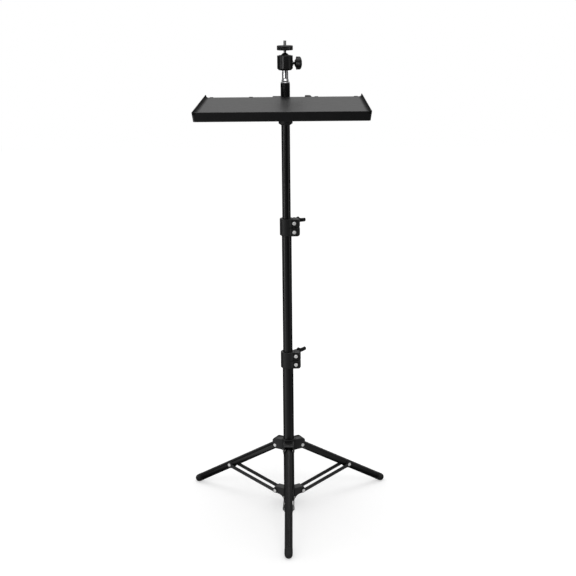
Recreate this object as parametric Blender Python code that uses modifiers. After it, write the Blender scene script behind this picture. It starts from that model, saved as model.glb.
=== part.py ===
"""Projector tripod stand: three telescoping tubes on folding legs, a shelf tray and a small ball head.

Metres, +Z up. The legs stand on z = 0 and the front leg points along -Y. Every piece hangs on the empty
stand_root, which the last step moves so that the stand's bounding box is centred on the origin.
"""
import math

import bmesh
import bpy
from mathutils import Matrix, Vector

# Clearances, edge breaks, how far a cutter reaches past what it cuts, and the sides of round pieces
GAP = 0.0003
EDGE = 0.0010
FINE_EDGE = 0.0006
BOLT_EDGE = 0.0012
REACH_PAST = 0.02
SIDES = 24
BOSS_SIDES = 20
FINE_SIDES = 12

# Telescoping tubes: each fits inside the one below
COLUMN_R = 0.0125
TUBE_WALL = 0.0012
MID_INSERTED = 0.0440
TOP_INSERTED = 0.0742
BUSH_FLANGE = 0.003
BUSH_SPIGOT = 0.012
BUSH_WALL = 0.0016

# Collar clamps between the tubes; heights are those of their level slits
LOWER_SLIT_Z = 0.3693
UPPER_SLIT_Z = 0.6845
COLLAR_LIP = 0.0015
LOWER_COLLAR_R = 0.0165
UPPER_COLLAR_R = 0.0154
COLLAR_UP = 0.0203
COLLAR_DOWN = 0.0190
COLLAR_TAPER = 0.0018
EAR_REACH = 0.0300
EAR_DOWN = 0.0200
EAR_ROUND = 0.0062
EAR_SLIT_ROUND = 0.0024
EAR_ROOT = 0.004
EAR_DEPTH = 0.0190
SLIT = 0.0018
SLIT_START_X = 0.006
SPLIT_START_X = 0.005
BOLT_R = 0.0025
BOLT_HEAD_R = 0.0046
BOLT_HEAD_T = 0.0026
BOLT_RISE = 0.0103
BOLT_WALL = 0.0034
BOLT_TAIL = 0.0010
BOLT_COVER = 0.0020
NUT_T = 0.0036

# Wing knobs of the clamps
WING_TIP_R = 0.0262
WING_SHOULDER_R = 0.0136
WING_HUB_R = 0.0080
WING_HUB_T = 0.0132
WING_NECK_R = 0.0046
WING_NECK = 0.0034
WING_START = 0.0072
WING_T = 0.0056
LOWER_WING_ANGLE = math.radians(27)
UPPER_WING_ANGLE = math.radians(7)

# Legs, crown and lower spider, in the upright plane of one leg
LEG_R = 0.0090
LEG_WALL = 0.0011
FOOT_R = 0.0093
FOOT_REACH = 0.264
FOOT_SKIRT = 0.013
FOOT_SPIGOT = 0.018
CROWN_PIVOT_R = 0.031
CROWN_PIVOT_Z = 0.152
SPIDER_PIVOT_R = 0.033
SPIDER_PIVOT_Z = 0.0325
BRACE_PIN_ALONG_LEG = 0.1556
LEG_BEHIND_PIVOT = 0.007
PLUG_LENGTH = 0.022
PIN_R = 0.0024
PIN_HEAD_R = 0.0041
PIN_HEAD_T = 0.0012
SADDLE_WALL = 0.0009
SADDLE_OPEN = 0.0050
SADDLE_LENGTH = 0.015
BAR_T = 0.0020
BAR_HALF_H = 0.0045
BAR_END_R = 0.0054
CHEEK_T = 0.0029
CROWN_SLEEVE_R = 0.0162
CROWN_DOWN = 0.0084
CROWN_UP = 0.0175
CROWN_SLEEVE_UP = 0.0205
CROWN_SLEEVE_LIP = 0.0008
CROWN_EAR_R = 0.0075
CROWN_EAR_ROUND = 0.0072
CROWN_EAR_FOOT_ROUND = 0.0060
CROWN_EAR_ROOT = 0.008
CROWN_CHAMFER = 0.0022
LEG_SLOT_ROOM = 0.0008
LEG_SIDE_ROOM = 0.0005
SPIDER_HUB_R = 0.0128
SPIDER_HUB_DOWN = 0.0180
SPIDER_HUB_UP = 0.0175
SPIDER_WALL = 0.0035
SPIDER_WEB = 0.0060
SPIDER_SPIGOT = 0.007
SPIDER_EAR_UP = 0.0105
SPIDER_EAR_R = 0.0065
SPIDER_EAR_ROUND = 0.0050
SPIDER_EAR_ROOT = 0.009
SPIDER_EAR_FOOT = 0.0030
SPIDER_SWEEP_MARGIN = 0.0020
END_CAP_T = 0.0026
END_CAP_STEM = 0.010
END_CAP_INSET = 0.0004
LEG_AZIMUTHS = {"front": -90, "left": 150, "right": 30}

# Hand knobs with scalloped rims
KNOB_STUD_R = 0.0030
CROWN_KNOB_R = 0.0100
CROWN_KNOB_T = 0.0110
CROWN_BOSS_R = 0.0065
CROWN_BOSS_REACH = 0.0215
CROWN_KNOB_START = 0.0245
CROWN_KNOB_HUB = 0.0014
BOSS_ROOT = 0.010
CROWN_KNOB_RISE = 0.0085

# Tray
TRAY_WIDTH = 0.342
TRAY_DEPTH = 0.3343
TRAY_STANDOFF = 0.0127
TRAY_SHIFT_X = -0.0035
TRAY_FLOOR_Z = 0.9768
TRAY_RIM = 0.0057
TRAY_FLOOR_T = 0.0024
TRAY_WALL = 0.0024
TRAY_SKIRT = 0.0188
TRAY_DRAW = 0.0024
TRAY_CORNER_R = 0.0045
TRAY_FILLET_R = 0.0048
RIB_T = 0.0020
STOP_W = 0.0080
STOP_H = 0.0009
STOP_T = 0.0022
STOP_INSET = 0.0004
STOP_SUNK = 0.0010
STOP_OUTER_X = 0.1570
STOP_INNER_X = 0.0710
BAY_MARGIN = 0.006
SOCKET_ROOM = 0.004

# Bracket that carries the tray on the top tube
SOCKET_R = 0.0155
SOCKET_LENGTH = 0.0553
SOCKET_CHAMFER = 0.0022
SOCKET_DROP = 0.0058
ARM_T = 0.0040
ARM_HALF_W = 0.026
ARM_LENGTH = 0.165
ARM_CORNER_R = 0.010
ARM_SPREAD_Y = -0.045
ARM_ROOT_Y = -0.018
ARM_BACK_Y = -0.006
ARM_LIP = 0.0035
GUSSET_T = 0.0040
GUSSET_DEPTH = 0.026
GUSSET_END = 0.012
GUSSET_KNEE_Y = -0.030
GUSSET_KNEE = 0.008
GUSSET_FOOT_Y = -0.010
LINER_WALL = 0.0012
LINER_DOWN = 0.0010
SIDE_BOSS_R = 0.0108
SIDE_BOSS_REACH = 0.028
SIDE_HOLE_R = 0.0040
SIDE_HOLE_DEPTH = 0.0060
KNOB_BOSS_R = 0.0070
KNOB_BOSS_REACH = 0.024
TRAY_KNOB_R = 0.0122
TRAY_KNOB_T = 0.0172
TRAY_KNOB_START = 0.0428
TRAY_KNOB_HUB = 0.0016
TRAY_KNOB_DROP = 0.0100
SCREW_R = 0.0017
SCREW_HEAD_R = 0.0036
SCREW_HEAD_T = 0.0020
SCREW_EDGE = 0.0007
SCREW_COVER = 0.0011
SCREW_SPREAD_X = 0.0210
SCREW_FROM_ARM_END = 0.045

# Ball head, each piece measured from the one that carries it
POST_R = 0.01025
POST_ABOVE_FLOOR = 0.0282
POST_SPIGOT = 0.018
SPIGOT_LENGTH = 0.0276
SPIGOT_NECK_R = 0.0067
SPIGOT_FLARE_R = 0.0100
SPIGOT_FLARE_H = 0.0100
SPIGOT_FOOT_H = 0.0022
SPIGOT_GROOVE = 0.0008
SPIGOT_GROOVE_W = 0.0018
SPIGOT_COLLAR_H = 0.0020
SPIGOT_SLOPE = 0.0004
SPIGOT_STUB_R = 0.0030
SPIGOT_STUB = 0.0090
HOUSING_R = 0.0170
HOUSING_HEIGHT = 0.0321
HOUSING_CHAMFER = 0.0035
HOUSING_RIM = 0.0036
HOUSING_STEP = 0.0008
BALL_R = 0.0095
BALL_BELOW_TOP = 0.0043
MOUTH_EDGE = 0.0010
NECK_R = 0.0028
DISC_R = 0.0174
DISC_T = 0.0100
DISC_ABOVE_BALL = 0.0147
DISC_CHAMFER = 0.0010
STUD_R = 0.0031
STUD_ABOVE_DISC = 0.0107
STUD_SHOULDER = 0.0022
STUD_SLOPE = 0.0004
BALL_KNOB_R = 0.0143
BALL_KNOB_T = 0.0130
BALL_KNOB_START = 0.0240
BALL_KNOB_HUB = 0.0034
BALL_KNOB_BELOW_TOP = 0.0175
BALL_KNOB_STUD_START = 0.0090
BALL_BOSS_R = 0.0062
BALL_BOSS_REACH = 0.0180

# Sizes worked out from those above
SPIDER_HUB_BOTTOM = SPIDER_PIVOT_Z - SPIDER_HUB_DOWN
SPIDER_HUB_TOP = SPIDER_PIVOT_Z + SPIDER_HUB_UP
COLUMN_BOTTOM = SPIDER_HUB_TOP + GAP
MID_BOTTOM = LOWER_SLIT_Z - GAP - MID_INSERTED
TOP_BOTTOM = UPPER_SLIT_Z - GAP - TOP_INSERTED
MID_R = COLUMN_R - TUBE_WALL - GAP
TOP_R = MID_R - TUBE_WALL - GAP
LINER_R = TOP_R + GAP + LINER_WALL
SADDLE_HALF = LEG_R + GAP + SADDLE_WALL
BAR_INNER = SADDLE_HALF + GAP
CHEEK_INNER = LEG_R + GAP + LEG_SIDE_ROOM
EAR_HALF = CHEEK_INNER + CHEEK_T
SPIDER_EAR_HALF = BAR_INNER - GAP
TRAY_BACK_Y = -TRAY_STANDOFF
TRAY_FRONT_Y = TRAY_BACK_Y - TRAY_DEPTH
TRAY_RIM_Z = TRAY_FLOOR_Z + TRAY_RIM
TRAY_UNDER_Z = TRAY_FLOOR_Z - TRAY_FLOOR_T
TRAY_SKIRT_Z = TRAY_RIM_Z - TRAY_SKIRT
ARM_TOP = TRAY_UNDER_Z - GAP
ARM_FRONT_Y = -ARM_LENGTH
SCREW_Y = ARM_FRONT_Y + SCREW_FROM_ARM_END
SCREW_TIP = TRAY_FLOOR_Z - SCREW_COVER
SOCKET_TOP = TRAY_FLOOR_Z - SOCKET_DROP
SOCKET_BOTTOM = SOCKET_TOP - SOCKET_LENGTH
TRAY_KNOB_Z = TRAY_FLOOR_Z - TRAY_KNOB_DROP
TOP_TUBE_END = SOCKET_TOP + 4 * GAP
POST_TOP = TRAY_FLOOR_Z + POST_ABOVE_FLOOR
SPIGOT_TOP = POST_TOP + GAP + SPIGOT_LENGTH
HOUSING_BOTTOM = SPIGOT_TOP + GAP
HOUSING_TOP = HOUSING_BOTTOM + HOUSING_HEIGHT
BALL_Z = HOUSING_TOP - BALL_BELOW_TOP
DISC_BOTTOM = BALL_Z + DISC_ABOVE_BALL
STUD_TOP = DISC_BOTTOM + DISC_T + STUD_ABOVE_DISC
BALL_KNOB_Z = HOUSING_TOP - BALL_KNOB_BELOW_TOP
LEG_RUN = FOOT_REACH - CROWN_PIVOT_R
LEG_DROP = CROWN_PIVOT_Z - FOOT_R
LEG_LENGTH = math.hypot(LEG_RUN, LEG_DROP)
LEG_ANGLE = math.atan2(LEG_DROP, LEG_RUN)
PIN_POINT_R = CROWN_PIVOT_R + BRACE_PIN_ALONG_LEG * math.cos(LEG_ANGLE)
PIN_POINT_Z = CROWN_PIVOT_Z - BRACE_PIN_ALONG_LEG * math.sin(LEG_ANGLE)
BRACE_RUN = PIN_POINT_R - SPIDER_PIVOT_R
BRACE_RISE = PIN_POINT_Z - SPIDER_PIVOT_Z
BRACE_LENGTH = math.hypot(BRACE_RUN, BRACE_RISE)
BRACE_ANGLE = math.atan2(BRACE_RISE, BRACE_RUN)

# Finishes: colour, roughness and metallic value
FINISHES = {
    "black_tube": ((0.012, 0.012, 0.013), 0.32, 0.6),
    "black_plastic": ((0.014, 0.014, 0.015), 0.48, 0.0),
    "tray_black": ((0.020, 0.020, 0.021), 0.42, 0.0),
    "rubber": ((0.010, 0.010, 0.010), 0.80, 0.0),
    "chrome": ((0.80, 0.80, 0.81), 0.08, 1.0),
    "bright_steel": ((0.62, 0.61, 0.59), 0.25, 1.0),
    "anodised": ((0.016, 0.016, 0.018), 0.28, 0.7),
}


def clear_scene():
    for obj in list(bpy.data.objects):
        bpy.data.objects.remove(obj, do_unlink=True)
    for group in list(bpy.data.collections):
        bpy.data.collections.remove(group)


def new_collection(name):
    group = bpy.data.collections.new(name)
    bpy.context.scene.collection.children.link(group)
    return group


clear_scene()
PARTS = new_collection("projector_tripod_stand")
CUTTERS = new_collection("cutters")


def empty(name, parent=None, location=(0, 0, 0), rotation=(0, 0, 0)):
    """A frame that pieces are parented to, so that they turn or slide as the real ones do."""
    frame = bpy.data.objects.new(name, None)
    PARTS.objects.link(frame)
    frame.parent = parent
    frame.location = location
    frame.rotation_euler = rotation
    frame.empty_display_size = 0.02
    return frame


def put(obj, parent, location=(0, 0, 0), rotation=(0, 0, 0)):
    obj.parent = parent
    obj.location = location
    obj.rotation_euler = rotation
    return obj


def finish(obj, kind):
    """Gives the piece its own material of one of the named finishes."""
    colour, roughness, metallic = FINISHES[kind]
    material = bpy.data.materials.new(obj.name)
    material.use_nodes = True
    shader = material.node_tree.nodes["Principled BSDF"]
    shader.inputs["Base Color"].default_value = (*colour, 1.0)
    shader.inputs["Roughness"].default_value = roughness
    shader.inputs["Metallic"].default_value = metallic
    obj.data.materials.clear()
    obj.data.materials.append(material)
    return obj


def object_from(name, build, cutter=False):
    """Makes an object whose mesh is what the function build puts in a bmesh."""
    mesh = bpy.data.meshes.new(name)
    work = bmesh.new()
    build(work)
    work.to_mesh(mesh)
    work.free()
    obj = bpy.data.objects.new(name, mesh)
    (CUTTERS if cutter else PARTS).objects.link(obj)
    if cutter:
        obj.hide_render = True
        obj.display_type = "WIRE"
    return obj


def add(obj, kind, **settings):
    modifier = obj.modifiers.new(kind.title(), kind)
    for name, value in settings.items():
        setattr(modifier, name, value)
    return modifier


def cut(obj, *cutters):
    for cutter in cutters:
        add(obj, "BOOLEAN", operation="DIFFERENCE", solver="EXACT", object=cutter)
    return obj


def fuse(obj, *others):
    for other in others:
        add(obj, "BOOLEAN", operation="UNION", solver="EXACT", object=other)
    return obj


def soften(obj, width, segments=1, angle=50):
    add(obj, "BEVEL", width=width, segments=segments, limit_method="ANGLE", angle_limit=math.radians(angle))
    return obj


def shade(obj, angle=40):
    obj.data.shade_smooth()
    obj.data.set_sharp_from_angle(angle=math.radians(angle))
    return obj


def turned(name, profile, sides=SIDES, cutter=False, closed=False):
    """A piece turned about its own Z axis from (radius, height) points that run down its outer side."""
    phase = 0.31 * math.tau / sides if cutter else 0.0

    def build(work):
        verts = [work.verts.new((radius * math.cos(phase), radius * math.sin(phase), height))
                 for radius, height in profile]
        ends = list(zip(verts, verts[1:])) + ([(verts[-1], verts[0])] if closed else [])
        for start, end in ends:
            work.edges.new((start, end))

    obj = object_from(name, build, cutter)
    add(obj, "SCREW", axis="Z", angle=math.tau, steps=sides, render_steps=sides,
        use_merge_vertices=True, merge_threshold=0.00001)
    return shade(obj)


def ring(name, outer, inner, bottom, top, sides=SIDES, cutter=False):
    return turned(name, [(outer, top), (outer, bottom), (inner, bottom), (inner, top)], sides, cutter, True)


def rod(name, radius, bottom, top, sides=FINE_SIDES, cutter=True):
    return turned(name, [(0, top), (radius, top), (radius, bottom), (0, bottom)], sides, cutter)


def box(name, low, high, cutter=True, draw=0.0):
    """A box between two corners; draw pulls its lower edges in on every side but the back."""

    def build(work):
        bmesh.ops.create_cube(work, size=1.0)
        for vert in work.verts:
            below = vert.co.z < 0
            corner = [high[i] if vert.co[i] > 0 else low[i] for i in range(3)]
            if below and draw:
                corner[0] -= math.copysign(draw, vert.co.x)
                corner[1] += draw if vert.co.y < 0 else 0.0
            vert.co = corner

    return object_from(name, build, cutter)


def arc(centre, radius, start, end, steps):
    """Points on an arc, angles in degrees, counterclockwise when end is larger."""
    turn = (end - start) / steps
    angles = [math.radians(start + turn * i) for i in range(steps + 1)]
    return [(centre[0] + radius * math.cos(a), centre[1] + radius * math.sin(a)) for a in angles]


def plate(name, outline, thickness, facing="Z", cutter=False):
    """A flat outline with a thickness, centred on the plane that its name letter stands square to."""
    curve = bpy.data.curves.new(name, "CURVE")
    curve.dimensions = "2D"
    curve.fill_mode = "BOTH"
    curve.extrude = thickness / 2
    spline = curve.splines.new("POLY")
    spline.points.add(len(outline) - 1)
    for point, (u, v) in zip(spline.points, outline):
        point.co = (u, v, 0, 1)
    spline.use_cyclic_u = True
    flat = bpy.data.objects.new(name, curve)
    PARTS.objects.link(flat)
    evaluated = flat.evaluated_get(bpy.context.evaluated_depsgraph_get())
    mesh = bpy.data.meshes.new_from_object(evaluated)
    bpy.data.objects.remove(flat)
    turn = {"X": Matrix(((0, 0, 1), (1, 0, 0), (0, 1, 0))),
            "Y": Matrix(((1, 0, 0), (0, 0, -1), (0, 1, 0))),
            "Z": Matrix.Identity(3)}[facing]
    mesh.transform(turn.to_4x4())

    def build(work):
        work.from_mesh(mesh)
        bmesh.ops.remove_doubles(work, verts=work.verts, dist=0.000001)
        bmesh.ops.recalc_face_normals(work, faces=work.faces)

    obj = object_from(name, build, cutter)
    bpy.data.meshes.remove(mesh)
    return shade(obj)


def across(obj, parent, location=(0, 0, 0)):
    """Lays a turned piece so that its axis runs along the frame's Y."""
    return put(obj, parent, location, (math.radians(-90), 0, 0))


def sideways(obj, parent, location=(0, 0, 0)):
    """Lays a turned piece so that its axis runs along the frame's X."""
    return put(obj, parent, location, (0, math.radians(90), 0))


ROOT = empty("stand_root")


def make_tubes():
    """The column is the outer tube; the middle and top tubes slide inside it."""
    column = ring("column_tube", COLUMN_R, COLUMN_R - TUBE_WALL, COLUMN_BOTTOM, LOWER_SLIT_Z - GAP)
    middle = ring("mid_tube", MID_R, MID_R - TUBE_WALL, MID_BOTTOM, UPPER_SLIT_Z - GAP)
    top = ring("top_tube", TOP_R, TOP_R - TUBE_WALL, TOP_BOTTOM, TOP_TUBE_END)
    for tube in (column, middle, top):
        finish(put(tube, ROOT), "black_tube")
    for name, radius, end in (("mid_tube_bush", MID_R, MID_BOTTOM), ("top_tube_bush", TOP_R, TOP_BOTTOM)):
        finish(put(bush(name, radius, end), ROOT), "black_plastic")


def bush(name, radius, tube_end):
    """A plastic guide ring plugged into a tube's lower end."""
    spigot = radius - TUBE_WALL - GAP
    flange_top = tube_end - GAP
    profile = [(spigot, tube_end + BUSH_SPIGOT), (spigot, flange_top), (radius, flange_top),
               (radius, flange_top - BUSH_FLANGE), (spigot - BUSH_WALL, flange_top - BUSH_FLANGE),
               (spigot - BUSH_WALL, tube_end + BUSH_SPIGOT)]
    return turned(name, profile, closed=True)


def lug_outline(height, sign):
    """One lug of a collar: a small round corner beside the level slit and a large one at its far side."""
    slit = arc((EAR_REACH - EAR_SLIT_ROUND, SLIT / 4 + EAR_SLIT_ROUND), EAR_SLIT_ROUND, -90, 0, 3)
    far = arc((EAR_REACH - EAR_ROUND, height - EAR_ROUND), EAR_ROUND, 0, 90, 5)
    outline = [(EAR_ROOT, SLIT / 4)] + slit + far + [(EAR_ROOT, height)]
    return [(x, sign * z) for x, z in outline]


def bolt_x(tube_radius):
    return tube_radius + GAP + BOLT_WALL + BOLT_R


def make_clamp(label, slit_z, collar_r, outer_r, inner_r):
    """A split collar: its lower half is bolted to the outer tube, its upper half grips the inner one."""
    seat = empty(label + "_clamp_seat", ROOT, (0, 0, slit_z))
    collar = turned(label + "_clamp", [
        (0, COLLAR_UP), (collar_r - EDGE, COLLAR_UP), (collar_r, COLLAR_UP - EDGE),
        (collar_r, -COLLAR_DOWN + COLLAR_TAPER), (outer_r + GAP + COLLAR_LIP, -COLLAR_DOWN),
        (0, -COLLAR_DOWN)])
    lugs = [plate(label + "_upper_lug", lug_outline(COLLAR_UP - EDGE, 1), EAR_DEPTH, "Y", True),
            plate(label + "_lower_lug", lug_outline(EAR_DOWN, -1), EAR_DEPTH, "Y", True)]
    bore = turned(label + "_clamp_bore", [
        (0, 2 * COLLAR_UP), (inner_r + GAP, 2 * COLLAR_UP), (inner_r + GAP, 0),
        (outer_r + GAP, 0), (outer_r + GAP, -2 * COLLAR_DOWN), (0, -2 * COLLAR_DOWN)], cutter=True)
    far = EAR_REACH + REACH_PAST
    level_slit = box(label + "_level_slit", (SLIT_START_X, -far, -SLIT / 2), (far, far, SLIT / 2))
    upright_slit = box(label + "_upright_slit", (SPLIT_START_X, -SLIT / 2, -far),
                       (far, SLIT / 2, far))
    for piece in (collar, *lugs, bore, level_slit, upright_slit):
        put(piece, seat)
    fuse(collar, *lugs)
    cut(collar, bore, level_slit, upright_slit)
    for sign, hole_name in ((1, "_knob_hole"), (-1, "_bolt_hole")):
        hole = rod(label + hole_name, BOLT_R + GAP, -EAR_DEPTH, EAR_DEPTH)
        cut(collar, across(hole, seat, (bolt_x(outer_r), 0, sign * BOLT_RISE)))
    finish(collar, "black_plastic")
    make_clamp_bolts(label, seat, bolt_x(outer_r))
    return seat


def bolt_profile(reach, nut):
    """Half section of a pan-head bolt: the head is at the low end; a nut may close the far end."""
    face = -EAR_DEPTH / 2 - GAP
    head = face - BOLT_HEAD_T
    profile = [(0, reach)]
    if nut:
        nut_face = EAR_DEPTH / 2 + GAP
        profile += [(BOLT_R, reach), (BOLT_R, nut_face + NUT_T), (BOLT_HEAD_R, nut_face + NUT_T),
                    (BOLT_HEAD_R, nut_face)]
    else:
        profile += [(BOLT_R, reach)]
        nut_face = face
    profile += [(BOLT_R, nut_face)] if nut else []
    profile += [(BOLT_R, face), (BOLT_HEAD_R, face), (BOLT_HEAD_R, head + FINE_EDGE),
                (BOLT_HEAD_R - BOLT_EDGE, head), (0, head)]
    return profile


def make_clamp_bolts(label, seat, x):
    """The lower bolt holds the collar on its tube; the upper one carries the wing knob behind the ear."""
    fixed = turned(label + "_clamp_bolt", bolt_profile(EAR_DEPTH / 2 + GAP + NUT_T + BOLT_TAIL, True),
                   FINE_SIDES)
    knob_bolt = turned(label + "_knob_bolt", bolt_profile(EAR_DEPTH / 2 + WING_HUB_T - BOLT_COVER, False),
                       FINE_SIDES)
    finish(across(fixed, seat, (x, 0, -BOLT_RISE)), "bright_steel")
    finish(across(knob_bolt, seat, (x, 0, BOLT_RISE)), "bright_steel")


def wing_outline():
    """One half of the outline in polar steps, then the same turned by half a circle."""
    root = 0.8 * WING_HUB_R
    half = [(-30, root), (-18, 0.5 * WING_TIP_R), (-11.5, 0.82 * WING_TIP_R), (-9, 0.95 * WING_TIP_R),
            (0, WING_TIP_R), (8, 0.96 * WING_TIP_R), (10, 0.80 * WING_TIP_R), (17, 1.1 * WING_SHOULDER_R),
            (25, 1.02 * WING_SHOULDER_R), (36, WING_SHOULDER_R), (48, 0.8 * WING_SHOULDER_R), (62, root),
            (90, root), (118, root)]
    points = []
    for turn in (0, 180):
        points += [(math.radians(angle + turn), radius) for angle, radius in half]
    return [(radius * math.cos(angle), radius * math.sin(angle)) for angle, radius in points]


def make_wing_knob(label, seat, x, angle):
    """A two-winged nut that turns on the clamp's upper bolt."""
    start = EAR_DEPTH / 2 + GAP
    pivot = empty(label + "_knob_pivot", seat, (x, 0, BOLT_RISE))
    end = start + WING_HUB_T
    hub = turned(label + "_clamp_knob", [
        (0, end), (WING_HUB_R - EDGE, end), (WING_HUB_R, end - EDGE),
        (WING_HUB_R, start + WING_NECK),
        (WING_NECK_R, start + WING_NECK), (WING_NECK_R, start), (0, start)], 16)
    wings = plate(label + "_knob_wings", wing_outline(), WING_T, "Y", True)
    hole = rod(label + "_knob_bore", BOLT_R + GAP, start - REACH_PAST, end - BOLT_COVER + 2 * GAP)
    across(hub, pivot)
    across(hole, pivot)
    put(wings, pivot, (0, start + WING_START + WING_T / 2, 0), (0, -angle, 0))
    fuse(hub, wings)
    cut(hub, hole)
    finish(hub, "black_plastic")


def leg_frame(side):
    """X points outward along the leg's azimuth, Y lies across it."""
    return empty("leg_frame_" + side, ROOT, rotation=(0, 0, math.radians(LEG_AZIMUTHS[side])))


def rivet(name, reach, sides=FINE_SIDES):
    """A two-headed pin whose shank reaches to both sides of its middle."""
    top = reach + PIN_HEAD_T
    half = [(0, top), (0.7 * PIN_HEAD_R, top - 0.1 * PIN_HEAD_T), (PIN_HEAD_R, reach), (PIN_R, reach)]
    return turned(name, half + [(radius, -height) for radius, height in reversed(half)], sides)


def crown_ear_outline():
    """Side view of an ear: flat from the sleeve, with a round upper and a smaller round lower corner."""
    outer = CROWN_PIVOT_R + CROWN_EAR_R
    foot = CROWN_EAR_FOOT_ROUND
    lower = arc((outer - foot, -CROWN_DOWN + foot), foot, -90, 0, 4)
    upper = arc((outer - CROWN_EAR_ROUND, CROWN_UP - CROWN_EAR_ROUND), CROWN_EAR_ROUND, 0, 90, 6)
    return [(CROWN_EAR_ROOT, -CROWN_DOWN)] + lower + upper + [(CROWN_EAR_ROOT, CROWN_UP)]


def leg_slot_outline():
    """The room that the leg's end turns in, open outward and downward."""
    room = math.hypot(LEG_R, LEG_BEHIND_PIVOT) + LEG_SLOT_ROOM
    far = CROWN_PIVOT_R + CROWN_EAR_R + REACH_PAST
    low = -CROWN_DOWN - REACH_PAST
    inner = arc((CROWN_PIVOT_R, 0), room, 180, 90, 8)
    return [(far, room), (far, low), (CROWN_PIVOT_R - room, low)] + inner


def make_crown(frames):
    """The sliding casting that the legs hang on, with a lock knob at its back."""
    seat = empty("crown_seat", ROOT, (0, 0, CROWN_PIVOT_Z))
    crown = turned("crown", [
        (0, CROWN_SLEEVE_UP), (CROWN_SLEEVE_R - EDGE, CROWN_SLEEVE_UP),
        (CROWN_SLEEVE_R, CROWN_SLEEVE_UP - EDGE),
        (CROWN_SLEEVE_R, -CROWN_DOWN - CROWN_SLEEVE_LIP), (0, -CROWN_DOWN - CROWN_SLEEVE_LIP)])
    put(crown, seat)
    bore = put(rod("crown_bore", COLUMN_R + GAP, -CROWN_DOWN - REACH_PAST, CROWN_SLEEVE_UP + REACH_PAST,
                   SIDES), seat)
    boss = rod("crown_boss", CROWN_BOSS_R, BOSS_ROOT, CROWN_BOSS_REACH, BOSS_SIDES)
    stud_hole = rod("crown_stud_hole", KNOB_STUD_R + GAP, COLUMN_R, CROWN_BOSS_REACH + REACH_PAST)
    ears, slots, holes = [], [], []
    for side, frame in frames.items():
        level = empty("crown_level_" + side, frame, (0, 0, CROWN_PIVOT_Z))
        ear = plate("crown_ear_" + side, crown_ear_outline(), 2 * EAR_HALF, "Y", True)
        slot = plate("leg_slot_" + side, leg_slot_outline(), 2 * CHEEK_INNER, "Y", True)
        hole = rod("crown_pin_hole_" + side, PIN_R + GAP, -REACH_PAST, REACH_PAST)
        ears.append(put(soften(ear, CROWN_CHAMFER), level))
        slots.append(put(slot, level))
        holes.append(across(hole, level, (CROWN_PIVOT_R, 0, 0)))
        pin = rivet("crown_pin_" + side, EAR_HALF + GAP)
        finish(across(pin, level, (CROWN_PIVOT_R, 0, 0)), "bright_steel")
    fuse(crown, *ears, across(boss, seat, (0, 0, CROWN_KNOB_RISE)))
    cut(crown, *slots, bore, *holes, across(stud_hole, seat, (0, 0, CROWN_KNOB_RISE)))
    finish(crown, "black_plastic")
    stud_start = COLUMN_R + 2 * GAP
    knob = scalloped_knob("crown_lock_knob", CROWN_KNOB_R, CROWN_KNOB_T, CROWN_KNOB_HUB,
                          stud_start, CROWN_KNOB_START, 6,
                          lambda piece: across(piece, seat, (0, 0, CROWN_KNOB_RISE)))
    finish(knob, "black_plastic")


def scalloped_knob(name, radius, thickness, hub, stud_start, head_start, lobes, lay):
    """A domed hand knob on a stud, with a cone as long as hub under its head and scallops round its rim."""
    rim = 0.55 * thickness
    dome = [(radius * math.cos(math.radians(a)), rim + (thickness - rim) * math.sin(math.radians(a)))
            for a in (90, 55, 25)]
    profile = [(u if u > 1e-6 else 0, head_start + v) for u, v in dome]
    profile += [(radius, head_start + rim - EDGE), (radius, head_start + EDGE),
                (radius - EDGE, head_start), (0.7 * radius, head_start - 0.15 * hub),
                (0.38 * radius, head_start - hub), (KNOB_STUD_R, head_start - hub),
                (KNOB_STUD_R, stud_start), (0, stud_start)]
    knob = turned(name, profile)
    scallop = 0.30 * radius

    def build(work):
        for i in range(lobes):
            turn = math.tau * i / lobes
            middle = Vector((math.cos(turn), math.sin(turn), 0)) * (radius + 0.45 * scallop)
            middle.z = head_start + thickness / 2
            bmesh.ops.create_cone(work, cap_ends=True, segments=10, radius1=scallop, radius2=scallop,
                                  depth=2 * thickness, matrix=Matrix.Translation(middle))

    scallops = object_from(name + "_scallops", build, True)
    lay(knob)
    lay(scallops)
    return cut(knob, scallops)


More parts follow.
